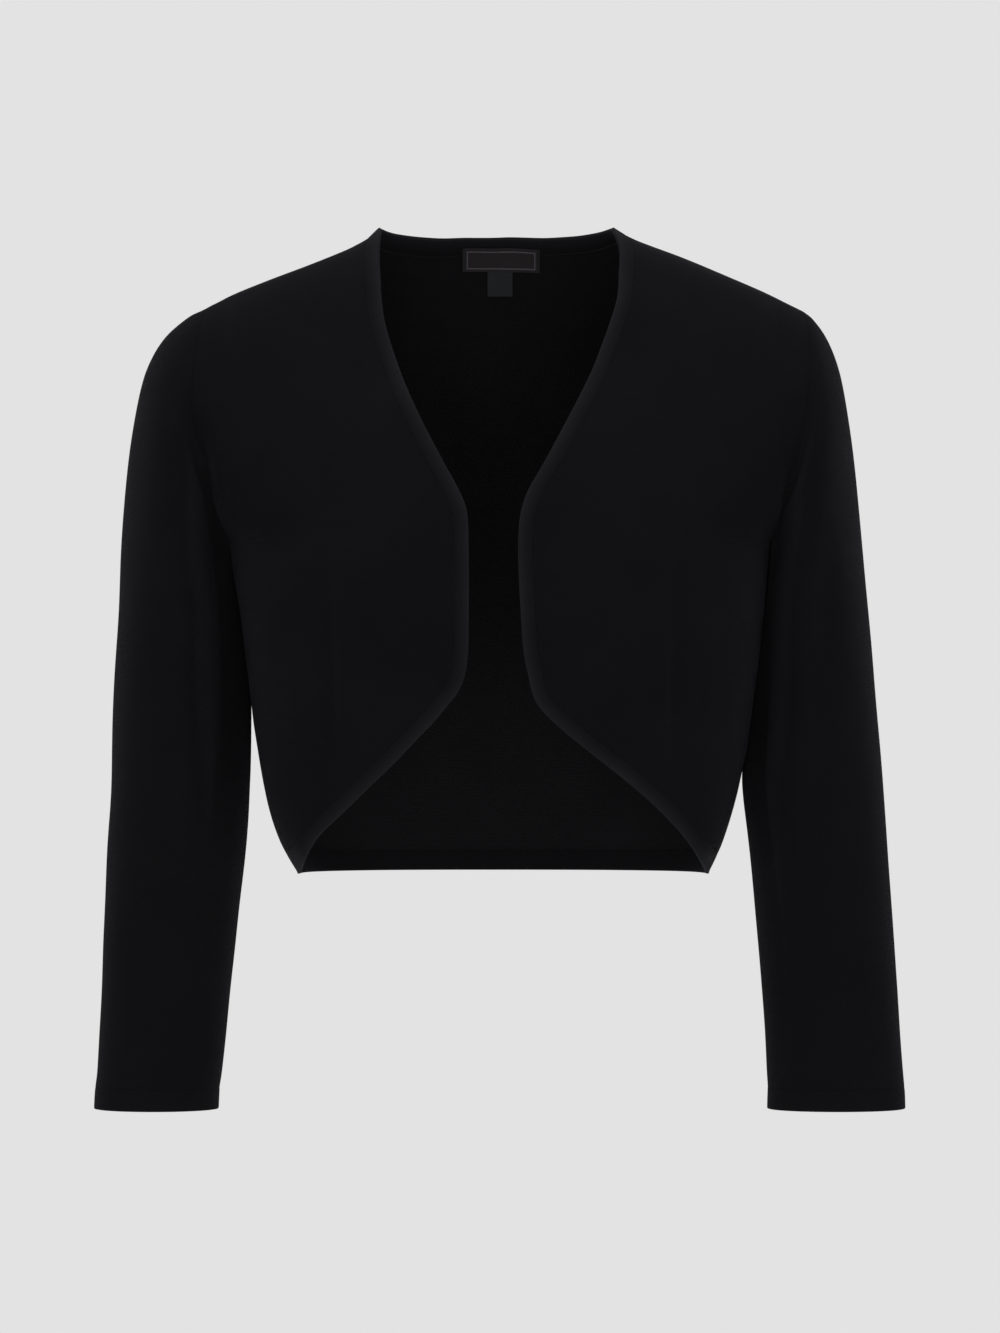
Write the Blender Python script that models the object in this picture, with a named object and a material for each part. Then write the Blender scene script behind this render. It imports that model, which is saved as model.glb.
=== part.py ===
"""A fine-knit shrug with a cutaway open front, hollow and in the pose that it has when worn.

Its cloth is one form, cut into sewn pieces: the body is given by how far it stands forward and back
at each place of its front view, and each sleeve by rails down its outer, front, inner and back sides.
Lengths are in millimetres. X is to the wearer's left, the front faces -Y, and the origin lies midway
between the side neck points, where the shoulders carry it.
"""

import math

import bmesh
import bpy
from mathutils import Vector

MM = 0.001
COLLECTION = "knitted_shrug"

# Driving dimensions.
WALL = 1.6  # single knit
BAND_WALL = 2.6  # doubled edges
BAND_PROUD = 0.4  # how far a doubled edge stands out of the panel beside it
SEAM_GAP = 0.3
BAND_WIDTH = 9.0  # open front edge and neck, in front view
SHOULDER_BAND_WIDTH = 8.0  # where that band crosses the shoulder seam
HEM_Z = -408.0
HEM_WIDTH = 13.0
CUFF_Z = -556.0
CUFF_WIDTH = 13.5
UNDERARM_Z = -196.0
SIDE_Y = 4.0  # the plane of the shoulder and side seams
SQUARENESS = 2.5  # of the body's sections: 2 is an ellipse
SHARPEST_MITRE = 0.7  # least cosine by which a wall is lengthened where pieces meet at an angle
SLEEVE_CLEARANCE = 1.2  # between a sleeve and the body's side that it is pressed against
UNDERARM_CLEARANCE = 2.2  # the same at the underarm, where the pressing begins,
PRESS_ONSET = 12.0  # and the height over which it narrows
SLEEVE_HEAD_SECTIONS = 5.0  # how many sections down the armhole's own shape still shows
BACK_ROWS_FADE = 3  # power by which the armhole's closer rows fade out towards the middle of the back
ON_SEAM = 0.001
CLOSED_SHARE = 1 - 1e-6  # of the half-width, past which the front and back have met
SHARP_EDGE = 50  # degrees

# Rows and columns of cloth quads.
ARMHOLE_ROWS = 14
SIDE_ROWS = 14
ROWS = ARMHOLE_ROWS + SIDE_ROWS
FRONT_COLUMNS = 8
HALF_NECK_COLUMNS = 6
BAND_COLUMNS = 2
SLEEVE_RINGS = 20

RIGHT, LEFT = -1, 1  # the wearer's
FRONT, BACK = -1, 1
SIDE_NAMES = {RIGHT: "right", LEFT: "left"}


def table(names, *rows):
    return [dict(zip(names.split(), row)) for row in rows]


# Depth of the body before and behind the seam plane, by the drop below the shoulder line.
DEPTHS = table(
    "drop front back",
    (0, 0, 0),
    (1, 8, 8),
    (4, 15, 16),
    (10, 24, 25),
    (25, 38, 43),
    (45, 51, 59),
    (70, 64, 73),
    (100, 80, 85),
    (130, 96, 93),
    (160, 109, 98),
    (195, 119, 100),
    (230, 121, 98),
    (270, 118, 94),
    (310, 112, 90),
    (350, 106, 87),
    (420, 100, 87),
)

# Shoulder line, and the dome that it would follow across the neck opening.
SHOULDER = table(
    "x right left",
    (0, 24, 24),
    (20, 23.2, 23.2),
    (40, 19.3, 19),
    (58, 11.5, 12),
    (75, 0, 0),
    (82, -5.4, -3.9),
    (88, -9, -6.4),
    (96, -13, -10),
    (118, -21.7, -17.8),
    (148, -33, -30.3),
    (170, -42, -39.6),
    (185, -49, -47),
    (194, -53.5, -51.5),
    (206, -60, -58),
)

# Half-width at which the front and back close: at the side seams, and out past the armholes.
CLOSING = table(
    "z right left",
    (30, 430, 430),
    (-50, 380, 385),
    (-80, 330, 335),
    (-112, 272, 276),
    (-133, 240, 246),
    (-159, 206, 211),
    (-182, 182, 186),
    (-196, 171, 174.3),
    (-216, 168, 171.8),
    (-235, 165, 169.6),
    (-254, 162.2, 167.8),
    (-273, 159.6, 165.8),
    (-292, 157, 163.5),
    (-311, 154.8, 160.9),
    (-330, 152, 158),
    (-343, 150.2, 155.2),
    (-356, 148, 152.4),
    (-368, 145, 149.4),
    (-381, 140.6, 145.7),
    (-394, 134.8, 141),
    (-408, 126.5, 134),
)

# Armhole seam in front view, from the shoulder point (0) to the underarm (1).
ARMHOLE = table(
    "fall right left",
    (0, 185, 194),
    (0.12, 188.5, 196),
    (0.25, 191, 196.4),
    (0.42, 192.3, 194.8),
    (0.5, 191.3, 193),
    (0.58, 188.3, 190.8),
    (0.66, 184.5, 187.4),
    (0.75, 180, 183),
    (0.87, 175, 178),
    (1, 171, 174.3),
)

# Open edge of the fronts: neck, slope, straight, rounded corner and cutaway.
EDGE = table(
    "row z right left",
    (0, 0.5, 74.5, 73.5),
    (1, -14, 75.2, 77.4),
    (2, -29, 74.3, 76.8),
    (3, -44, 73.3, 75.7),
    (4, -59.6, 71.1, 71.1),
    (6, -90.7, 61.5, 59.6),
    (8, -121.5, 48.2, 44.4),
    (10, -151.8, 32.5, 28.2),
    (11, -166.8, 24.3, 19.5),
    (12, -179, 19.2, 15),
    (13, -191, 18, 13.2),
    (14, -205, 17.7, 12.7),
    (16, -238, 17.6, 14),
    (18, -270.2, 18.2, 16.4),
    (19, -282, 19.9, 18.9),
    (20, -292.5, 24, 21.2),
    (21, -301.5, 31, 25.2),
    (22, -311, 38.8, 34),
    (23, -323, 50.5, 48),
    (24, -337.5, 64.3, 66.5),
    (25, -352.3, 79.8, 85),
    (26, -368, 96.2, 102.6),
    (27, -385.5, 114.2, 119),
    (28, HEM_Z, 126.5, 134),
)

# Back neck, from the side neck point (1) to the centre (0): the edge, and the seam under its band.
NECK = table(
    "reach edge_z seam_z",
    (1, 0, -5),
    (0.966, -0.5, -6.8),
    (0.866, -1.7, -9.6),
    (0.707, -2.6, -11.4),
    (0.5, -3, -12.2),
    (0.26, -3, -12.4),
    (0, -3, -12.4),
)

# Sleeve sections from armhole to cuff: the outer and inner rails, and how far the front and back rails
# stand forward, back and outward of the middle between them.
SLEEVE = table(
    "outer_z outer_right outer_left inner_z inner_right inner_left mid_z out front back",
    (-50, 185, 194, -196, 171, 174.3, -123, 13.5, -45, 58),
    (-56, 198, 200.5, -199, 172.8, 176.2, -131, 12.5, -51, 60),
    (-70, 213, 209.5, -204, 171.4, 175.1, -145, 8.5, -57, 61),
    (-92, 224, 217.2, -212, 168.4, 172.3, -161, 6, -60, 61),
    (-122, 231.2, 222.5, -222, 165, 169, -180, 4, -61, 60),
    (-158, 236, 227, -236, 162, 166.5, -204, 2, -60, 58),
    (-200, 238.8, 231, -254, 159.5, 165, -231, 0, -58, 55),
    (-246, 241, 234.7, -278, 156.5, 162.5, -264, 0, -56, 51),
    (-292, 243.2, 238.8, -308, 154, 159.5, -300, 0, -53.5, 47),
    (-348, 244.6, 242.8, -348, 155.6, 155.2, -348, 0, -51.5, 41),
    (-390, 246, 246, -390, 159.2, 159.2, -390, 0, -50.5, 36),
    (-440, 247.8, 248.8, -440, 164.8, 164.2, -440, 0, -50.5, 29.5),
    (-490, 249.6, 252.2, -490, 169.6, 167.8, -490, 0, -52, 21.5),
    (-530, 251.4, 254.4, -530, 173.6, 170.2, -530, 0, -54.5, 14),
    (CUFF_Z + CUFF_WIDTH, 252.4, 255.2, CUFF_Z + CUFF_WIDTH, 175.4, 170.9, CUFF_Z + CUFF_WIDTH, 0, -56, 10.5),
    (CUFF_Z, 253.2, 255.8, CUFF_Z, 176.4, 170.5, CUFF_Z, 0, -57, 8),
)

# Soft troughs in front view, each from its head to its foot. The face is the one that they lie in.
FOLDS = table(
    "face head_x head_z foot_x foot_z half_width depth",
    (FRONT, -107, -212, -104, -352, 17, 2.4),
    (FRONT, 116, -205, 113, -356, 19, 2.2),
    (FRONT, 114, -92, 116, -155, 20, 1.8),
    (FRONT, 207, -190, 204, -375, 12, 2.6),
    (FRONT, 201, -370, 197, -480, 11, 2.2),
    (FRONT, -203, -300, -208, -420, 12, 1.6),
    (BACK, -60, -215, -52, -375, 24, 2.6),
    (BACK, 66, -225, 58, -380, 22, 2.4),
    (BACK, 4, -250, 2, -385, 20, 1.6),
    (BACK, -148, -120, -120, -215, 16, 2.2),
    (BACK, 152, -122, 124, -220, 16, 2.2),
    (BACK, -204, -230, -206, -360, 13, 2.4),
    (BACK, 203, -215, 206, -350, 13, 2.4),
)

# Labels inside the back neck: middle, top, width, height and wall.
LABEL = {"x": 2.2, "top_z": -8.5, "width": 51, "height": 16, "wall": 0.7, "columns": 10, "rows": 3}
TAG = {"x": 1.6, "top_z": -24.8, "width": 16.5, "height": 16.5, "wall": 0.5, "columns": 4, "rows": 4}
LABEL_LIFT = 2.7  # from the outer face of the back to a label's outward side

CLOTH = {"color": (0.0065, 0.0065, 0.0080), "roughness": 0.92}
EDGING = {"color": (0.0075, 0.0075, 0.0092), "roughness": 0.9}
WOVEN = {"color": (0.0150, 0.0110, 0.0095), "roughness": 0.55}
SATIN = {"color": (0.0160, 0.0170, 0.0200), "roughness": 0.45}


def mix(a, b, share):
    return a + (b - a) * share


def smooth(rows, key, at, name):
    """A column of a table at any value of its key column, along a smooth curve through the rows."""
    keys = [row[key] for row in rows]
    values = [row[name] for row in rows]
    if keys[0] > keys[-1]:
        keys, values = keys[::-1], values[::-1]
    at = min(max(at, keys[0]), keys[-1])
    last = len(keys) - 1
    i = min(max(sum(k <= at for k in keys) - 1, 0), last - 1)
    step = keys[i + 1] - keys[i]

    def slope(j):
        before, after = max(j - 1, 0), min(j + 1, last)
        return (values[after] - values[before]) / (keys[after] - keys[before])

    t = (at - keys[i]) / step
    rise = 3 * t * t - 2 * t * t * t
    leave, arrive = t * (1 - t) ** 2 * step, t * t * (t - 1) * step
    return mix(values[i], values[i + 1], rise) + leave * slope(i) + arrive * slope(i + 1)


for depth_row in DEPTHS:
    depth_row["root"] = math.sqrt(depth_row["drop"])
for sleeve_index, sleeve_row in enumerate(SLEEVE):
    sleeve_row["section"] = sleeve_index


# The body's form.


def shoulder_z(x):
    return smooth(SHOULDER, "x", abs(x), SIDE_NAMES[LEFT if x > 0 else RIGHT])


def body_point(face, x, z):
    """The point of the front or back that shows at x, z in front view."""
    side = SIDE_NAMES[LEFT if x > 0 else RIGHT]
    drop = max(shoulder_z(x) - z, 0)
    depth = smooth(DEPTHS, "root", math.sqrt(drop), {FRONT: "front", BACK: "back"}[face])
    share = abs(x) / smooth(CLOSING, "z", z, side)
    if share > CLOSED_SHARE:
        return Vector((x, SIDE_Y, z))
    return Vector((x, SIDE_Y + face * depth * (1 - share**SQUARENESS) ** (1 / SQUARENESS), z))


def body_normal(face, x, z):
    step = 1.0
    across = body_point(face, x + step, z) - body_point(face, x - step, z)
    up = body_point(face, x, z + step) - body_point(face, x, z - step)
    return across.cross(up).normalized() * -face


def side_seam_x(side, z):
    return side * smooth(CLOSING, "z", z, SIDE_NAMES[side])


def armhole_fall(row):
    """How far down the armhole a row lies, from 0 to 1, closer at both ends where the seam turns."""
    return (1 - math.cos(math.pi * row / ARMHOLE_ROWS)) / 2


def side_outline(side):
    """Front view of a body panel's outer edge: armhole, then side seam down to the hem band."""
    name = SIDE_NAMES[side]
    top_z = shoulder_z(side * ARMHOLE[0][name])
    outline = []
    for row in range(ARMHOLE_ROWS + 1):
        fall = armhole_fall(row)
        x = side * smooth(ARMHOLE, "fall", fall, name)
        outline.append((x, mix(top_z, UNDERARM_Z, fall)))
    for row in range(1, SIDE_ROWS + 1):
        z = mix(UNDERARM_Z, HEM_Z + HEM_WIDTH, row / SIDE_ROWS)
        outline.append((side_seam_x(side, z), z))
    return outline


def open_edge(side):
    """Front view of the open edge, from the side neck point to the hem corner."""
    name = SIDE_NAMES[side]
    edge = [(side * smooth(EDGE, "row", r, name), smooth(EDGE, "row", r, "z")) for r in range(ROWS)]
    neck_x = edge[0][0]
    return [(neck_x, shoulder_z(neck_x))] + edge[1:] + [(side_seam_x(side, HEM_Z), HEM_Z)]


def band_seam(side):
    """Front view of the seam inside the open edge, a band's width away from it."""
    edge = open_edge(side)
    neck_x = edge[0][0] + side * SHOULDER_BAND_WIDTH
    seam = [(neck_x, shoulder_z(neck_x))]
    for row in range(1, ROWS):
        run = Vector(edge[row + 1]) - Vector(edge[row - 1])
        inward = Vector((-run.y, run.x)).normalized() * side
        seam.append(tuple(Vector(edge[row]) + inward * BAND_WIDTH))
    return seam + [side_outline(side)[-1]]


def turning(row):
    """How far a row's points crowd towards the side, where the body turns back: 0 to 1."""
    share = min(row / ARMHOLE_ROWS, 1)
    return share * share * (3 - 2 * share)


def crowd(share, row):
    return mix(share, math.sin(share * math.pi / 2), turning(row))


def cloth_point(face, x, z, row):
    """A body point, kept exactly on the seam plane along the shoulder line."""
    if row == 0 and abs(shoulder_z(x) - z) < ON_SEAM:
        return Vector((x, SIDE_Y, z))
    return body_point(face, x, z)


# The sewn pieces, as grids of points on the cloth's outer face.


def front_grid(side):
    grid = []
    for row, (seam, outer) in enumerate(zip(band_seam(side), side_outline(side))):
        line = []
        for column in range(FRONT_COLUMNS + 1):
            share = crowd(column / FRONT_COLUMNS, row)
            x = mix(seam[0], outer[0], share)
            z = shoulder_z(x) if row == 0 else mix(seam[1], outer[1], share)
            line.append(cloth_point(FRONT, x, z, row))
        grid.append(line)
    return grid


def front_band_grid(side):
    grid = []
    for row, (edge, seam) in enumerate(zip(open_edge(side), band_seam(side))):
        line = []
        for column in range(BAND_COLUMNS + 1):
            share = column / BAND_COLUMNS
            x = mix(edge[0], seam[0], share)
            z = shoulder_z(x) if row == 0 else mix(edge[1], seam[1], share)
            if row == ROWS:
                x = side_seam_x(side, z)
            line.append(cloth_point(FRONT, x, z, row))
        grid.append(line)
    return grid


def neck_reaches():
    """Places round the back neck, from the right side neck point (-1) to the left (1)."""
    steps = range(-HALF_NECK_COLUMNS, HALF_NECK_COLUMNS + 1)
    return [math.sin(math.pi / 2 * step / HALF_NECK_COLUMNS) for step in steps]


def neck_line(kind):
    """Front view of the back neck's edge or seam."""
    line = []
    for reach in neck_reaches():
        side = LEFT if reach > 0 else RIGHT
        end_x, end_z = {"edge": open_edge, "seam": band_seam}[kind](side)[0]
        x = abs(reach) * end_x
        z = smooth(NECK, "reach", abs(reach), kind + "_z") + (end_z - NECK[0][kind + "_z"]) * abs(reach)
        line.append((x, end_z if abs(reach) > CLOSED_SHARE else z))
    return line


def neck_band_grid():
    edges, seams = neck_line("edge"), neck_line("seam")
    grid = []
    for column in range(BAND_COLUMNS + 1):
        share = column / BAND_COLUMNS
        line = []
        for place, (edge, seam) in enumerate(zip(edges, seams)):
            x = mix(edge[0], seam[0], share)
            on_shoulder = place in (0, len(edges) - 1)
            z = shoulder_z(x) if on_shoulder else mix(edge[1], seam[1], share)
            line.append(cloth_point(BACK, x, z, 0 if on_shoulder else 1))
        grid.append(line)
    return grid


def shoulder_line(side):
    """Front view of the shoulder seam, from the band to the armhole."""
    return [(point.x, point.z) for point in front_grid(side)[0]]


def back_grid():
    top = shoulder_line(RIGHT)[:0:-1] + neck_line("seam") + shoulder_line(LEFT)[1:]
    half = len(top) // 2
    right, left = side_outline(RIGHT), side_outline(LEFT)
    grid = []
    for row in range(ROWS + 1):
        line = []
        for column, (top_x, top_z) in enumerate(top):
            share = (column - half) / half
            outline = left if share > 0 else right
            side_x, side_z = outline[row]
            straight_x = abs(top_x / outline[0][0]) * side_x
            x = mix(straight_x, math.sin(abs(share) * math.pi / 2) * side_x, turning(row))
            if row <= ARMHOLE_ROWS:
                fall = mix(row / ARMHOLE_ROWS, armhole_fall(row), abs(share) ** BACK_ROWS_FADE)
                z = mix(top_z, UNDERARM_Z, fall)
            else:
                z = side_z
            line.append(cloth_point(BACK, x, z, row))
        grid.append(line)
    return grid


def hem_band_grid(back):
    """The back's lowest rows, from the side seams' band down to the hem."""
    grid = [back[-1]]
    for step in range(1, BAND_COLUMNS + 1):
        z = mix(HEM_Z + HEM_WIDTH, HEM_Z, step / BAND_COLUMNS)
        line = []
        for above in back[-1]:
            side = LEFT if above.x > 0 else RIGHT
            narrowing = side_seam_x(side, z) / side_seam_x(side, above.z)
            line.append(body_point(BACK, above.x * narrowing, z))
        grid.append(line)
    return grid


def armhole_ring(side):
    """The armhole seam as a closed ring: down the front to the underarm, and up the back."""
    outline = side_outline(side)[: ARMHOLE_ROWS + 1]
    front = [cloth_point(FRONT, x, z, row) for row, (x, z) in enumerate(outline)]
    back = [cloth_point(BACK, x, z, row) for row, (x, z) in enumerate(outline)]
    return front + back[-2:0:-1]


def sleeve_rails(side, section):
    """The outer, inner, front and back points of a sleeve section."""
    name = SIDE_NAMES[side]
    row = {key: smooth(SLEEVE, "section", section, key) for key in SLEEVE[0] if key != "section"}
    middle_y = (row["front"] + row["back"]) / 2
    outer_x, inner_x = row["outer_" + name], row["inner_" + name]
    outer = Vector((side * outer_x, middle_y, row["outer_z"]))
    inner = Vector((side * inner_x, middle_y, row["inner_z"]))
    middle_x = side * ((outer_x + inner_x) / 2 + row["out"])
    front = Vector((middle_x, row["front"], row["mid_z"]))
    back = Vector((middle_x, row["back"], row["mid_z"]))
    return outer, inner, front, back


def sleeve_ring(side, section):
    """An oval through a section's four rails, its points in the order of the armhole ring."""
    outer, inner, front, back = sleeve_rails(side, section)
    ring = []
    for step in range(2 * ARMHOLE_ROWS):
        angle = math.pi * step / ARMHOLE_ROWS
        down, forward = math.cos(angle), math.sin(angle)
        crown = (outer + inner) / 2
        flank = (front + back) / 2
        point = crown + (outer - inner) / 2 * down + (front - back) / 2 * forward
        ring.append(point + (flank - crown) * forward**2)
    return ring


def sleeve_grid(side):
    """Rings from the armhole, whose own shape fades out over the sleeve head, to the cuff seam."""
    armhole, first_oval = armhole_ring(side), sleeve_ring(side, 0)
    last = len(SLEEVE) - 2
    grid = []
    for ring_number in range(SLEEVE_RINGS + 1):
        share = ring_number / SLEEVE_RINGS
        section = last * share
        fade = max(1 - section / SLEEVE_HEAD_SECTIONS, 0) ** 2
        oval = sleeve_ring(side, section)
        ring = [p + (seam - o) * fade for p, seam, o in zip(oval, armhole, first_oval)]
        grid.append([lean_on_body(side, point) for point in ring] if ring_number else ring)
    return grid


def body_side_x(side, y, z):
    """How far out the body's side lies at a depth and height below the underarm."""
    half_width = abs(side_seam_x(side, z))
    face = "front" if y < SIDE_Y else "back"
    drop = shoulder_z(side * half_width) - z
    depth = smooth(DEPTHS, "root", math.sqrt(drop), face)
    share = min(abs(y - SIDE_Y) / depth, 1)
    return half_width * (1 - share**SQUARENESS) ** (1 / SQUARENESS)


def lean_on_body(side, point):
    """A sleeve point, moved out where the sleeve is pressed flat against the body's side."""
    if not HEM_Z < point.z < UNDERARM_Z:
        return point
    onset = min((UNDERARM_Z - point.z) / PRESS_ONSET, 1)
    least_x = body_side_x(side, point.y, point.z) + mix(UNDERARM_CLEARANCE, SLEEVE_CLEARANCE, onset)
    return Vector((side * max(abs(point.x), least_x), point.y, point.z))


def cuff_grid(side, sleeve):
    last = len(SLEEVE) - 1
    grid = [sleeve[-1]]
    for step in range(1, BAND_COLUMNS + 1):
        grid.append(sleeve_ring(side, last - 1 + step / BAND_COLUMNS))
    return grid


# From grids to solids.


def key_of(point):
    return tuple(round(value, 3) for value in point)


def quads(grid, closed):
    """Index pairs of each quad's corners."""
    columns = len(grid[0])
    for row in range(len(grid) - 1):
        for column in range(columns if closed else columns - 1):
            following = (column + 1) % columns
            yield (row, column), (row + 1, column), (row + 1, following), (row, following)


def shared_normals(pieces):
    """For each place on the cloth, one outward direction for the pieces that meet there, and how
    much longer the wall is along it."""
    samples = {}
    for piece in pieces:
        grid = piece["grid"]
        for quad in quads(grid, piece["closed"]):
            a, b, c, d = (grid[row][column] for row, column in quad)
            normal = (c - a).cross(d - b).normalized() * piece["turn"]
            for corner in {key_of(p) for p in (a, b, c, d)}:
                samples.setdefault(corner, []).append(normal)
    normals = {}
    for corner, around in samples.items():
        normal = sum(around, Vector((0, 0, 0))).normalized()
        facing = sum(normal.dot(sample) for sample in around) / len(around)
        normals[corner] = (normal, 1 / max(facing, SHARPEST_MITRE))
    return normals


def fold_depth(point, normal):
    """How deep the soft troughs lie at a place."""
    depth = 0.0
    for fold in FOLDS:
        facing = fold["face"] * normal.y
        if facing <= 0:
            continue
        head = Vector((fold["head_x"], fold["head_z"]))
        run = Vector((fold["foot_x"], fold["foot_z"])) - head
        place = Vector((point.x, point.z)) - head
        along = place.dot(run) / run.length_squared
        across = abs(place.cross(run)) / run.length / fold["half_width"]
        if 0 < along < 1 and across < 1:
            depth += fold["depth"] * facing * math.sin(math.pi * along) * math.cos(across * math.pi / 2) ** 2
    return depth


def draw_back(grid, closed):
    """The grid with its borders drawn back from the seams by half the seam gap."""
    half_gap = SEAM_GAP / 2
    drawn = [[point.copy() for point in line] for line in grid]
    last_row, last_column = len(grid) - 1, len(grid[0]) - 1
    for border, inside in ((0, 1), (last_row, last_row - 1)):
        is_point = (grid[border][0] - grid[border][-1]).length < half_gap and not closed
        for column, point in enumerate(grid[border]):
            target = grid[inside][last_column // 2 if is_point else column]
            drawn[border][column] += (target - point).normalized() * half_gap * (2 if is_point else 1)
    if closed:
        return drawn
    for border, inside in ((0, 1), (last_column, last_column - 1)):
        for row, line in enumerate(grid):
            reach = line[inside] - line[border]
            if reach.length > half_gap:
                drawn[row][border] += reach.normalized() * half_gap
    return drawn


def skins_of(piece, normals):
    """The outer and inner faces of a piece's wall, as grids."""
    drawn = draw_back(piece["grid"], piece["closed"])
    outer, inner = [], []
    for line, drawn_line in zip(piece["grid"], drawn):
        outer_line, inner_line = [], []
        for point, place in zip(line, drawn_line):
            normal, stretch = normals[key_of(point)]
            fold = fold_depth(point, normal)
            outer_line.append(place + normal * (piece["proud"] - fold))
            inner_line.append(place + normal * (piece["proud"] - fold - piece["wall"] * stretch))
        outer.append(outer_line)
        inner.append(inner_line)
    return outer, inner


def solid(name, seam_grid, outer, inner, closed, material, collection):
    """A closed wall between two grids of points, with its rims filled.

    A rim is split by the places in seam_grid, so that the two sides of a seam bend alike.
    """
    mesh = bmesh.new()
    places = {}

    def corner(point):
        key = tuple(round(value, 4) for value in point)
        if key not in places:
            places[key] = mesh.verts.new(point * MM)
        return places[key]

    def face(points):
        corners = []
        for point in points:
            vert = corner(point)
            if vert not in corners:
                corners.append(vert)
        if len(corners) > 2 and mesh.faces.get(corners) is None:
            mesh.faces.new(corners)

    for skin in (outer, inner):
        for quad in quads(skin, closed):
            face([skin[row][column] for row, column in quad])
    rows, columns = len(outer), len(outer[0])
    rims = []
    for row in (0, rows - 1):
        for column in range(columns if closed else columns - 1):
            rims.append(((row, column), (row, (column + 1) % columns)))
    if not closed:
        for column in (0, columns - 1):
            rims += [((row, column), (row + 1, column)) for row in range(rows - 1)]
    for ends in rims:
        (row_a, column_a), (row_b, column_b) = sorted(ends, key=lambda at: key_of(seam_grid[at[0]][at[1]]))
        outer_a, inner_a = outer[row_a][column_a], inner[row_a][column_a]
        outer_b, inner_b = outer[row_b][column_b], inner[row_b][column_b]
        face([outer_a, outer_b, inner_b])
        face([outer_a, inner_b, inner_a])

    bmesh.ops.recalc_face_normals(mesh, faces=mesh.faces)
    data = bpy.data.meshes.new(name)
    mesh.to_mesh(data)
    mesh.free()
    data.shade_smooth()
    data.set_sharp_from_angle(angle=math.radians(SHARP_EDGE))
    data.materials.append(material)
    made = bpy.data.objects.new(name, data)
    collection.objects.link(made)
    return made


def label_solid(name, size, material, collection):
    """A flat label that follows the inside of the back."""
    outer, inner = [], []
    for row in range(size["rows"] + 1):
        z = size["top_z"] - size["height"] * row / size["rows"]
        outer_line, inner_line = [], []
        for column in range(size["columns"] + 1):
            x = size["x"] + size["width"] * (column / size["columns"] - 0.5)
            point, normal = body_point(BACK, x, z), body_normal(BACK, x, z)
            outer_line.append(point - normal * LABEL_LIFT)
            inner_line.append(point - normal * (LABEL_LIFT + size["wall"]))
        outer.append(outer_line)
        inner.append(inner_line)
    return solid(name, outer, outer, inner, False, material, collection)


def finish(name, look):
    material = bpy.data.materials.new(name)
    material.use_nodes = True
    shader = material.node_tree.nodes["Principled BSDF"]
    shader.inputs["Base Color"].default_value = (*look["color"], 1)
    shader.inputs["Roughness"].default_value = look["roughness"]
    shader.inputs["Metallic"].default_value = 0
    return material


def piece_of(name, grid, turn, closed=False, doubled=False):
    """A sewn piece: its grid, which way its faces turn, and whether it is a ring or a doubled edge."""
    return {
        "name": name,
        "grid": grid,
        "turn": turn,
        "closed": closed,
        "wall": BAND_WALL if doubled else WALL,
        "proud": BAND_PROUD if doubled else 0,
        "look": EDGING if doubled else CLOTH,
    }


def sewn_pieces():
    back = back_grid()
    pieces = [
        piece_of("back", back, -1),
        piece_of("neck_band", neck_band_grid(), -1, doubled=True),
        piece_of("hem_band", hem_band_grid(back), -1, doubled=True),
    ]
    for side, name in SIDE_NAMES.items():
        sleeve = sleeve_grid(side)
        pieces += [
            piece_of("front_" + name, front_grid(side), side),
            piece_of("front_band_" + name, front_band_grid(side), side, doubled=True),
            piece_of("sleeve_" + name, sleeve, -side, closed=True),
            piece_of("cuff_band_" + name, cuff_grid(side, sleeve), -side, closed=True, doubled=True),
        ]
    return pieces


def build():
    for old in list(bpy.data.objects):
        bpy.data.objects.remove(old, do_unlink=True)
    collection = bpy.data.collections.new(COLLECTION)
    bpy.context.scene.collection.children.link(collection)
    pieces = sewn_pieces()
    normals = shared_normals(pieces)
    for piece in pieces:
        outer, inner = skins_of(piece, normals)
        material = finish("knit_" + piece["name"], piece["look"])
        solid(piece["name"], piece["grid"], outer, inner, piece["closed"], material, collection)
    label_solid("neck_label", LABEL, finish("woven_label", WOVEN), collection)
    label_solid("care_tag", TAG, finish("satin_tag", SATIN), collection)


build()
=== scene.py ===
"""A fine-knit shrug with a cutaway open front, in its worn form: its cloth, edges, labels and sewing."""

import math

import bmesh
import bpy
import numpy as np
from mathutils import Matrix, Vector


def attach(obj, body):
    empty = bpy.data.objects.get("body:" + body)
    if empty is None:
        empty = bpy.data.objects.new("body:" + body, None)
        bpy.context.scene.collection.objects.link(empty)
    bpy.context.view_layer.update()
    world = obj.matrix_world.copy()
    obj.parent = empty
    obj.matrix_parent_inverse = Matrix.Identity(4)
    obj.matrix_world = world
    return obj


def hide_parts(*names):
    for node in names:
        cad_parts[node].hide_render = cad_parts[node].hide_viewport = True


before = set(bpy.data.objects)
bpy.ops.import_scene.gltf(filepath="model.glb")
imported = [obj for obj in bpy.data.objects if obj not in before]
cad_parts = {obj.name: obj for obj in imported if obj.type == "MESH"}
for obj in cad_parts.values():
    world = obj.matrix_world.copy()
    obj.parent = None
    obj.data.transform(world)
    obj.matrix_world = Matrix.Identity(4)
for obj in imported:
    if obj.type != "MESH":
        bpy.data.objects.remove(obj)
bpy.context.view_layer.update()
scene = bpy.context.scene

# The back. One panel of fine plain knit in a matt black yarn, knitted to shape, linked to the fronts
# at the shoulders and sides, and rounded over the wearer's shoulder blades. The form below is the
# whole body's, in millimetres: the other pieces are cut from it, and lie edge to edge with this one.

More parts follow.
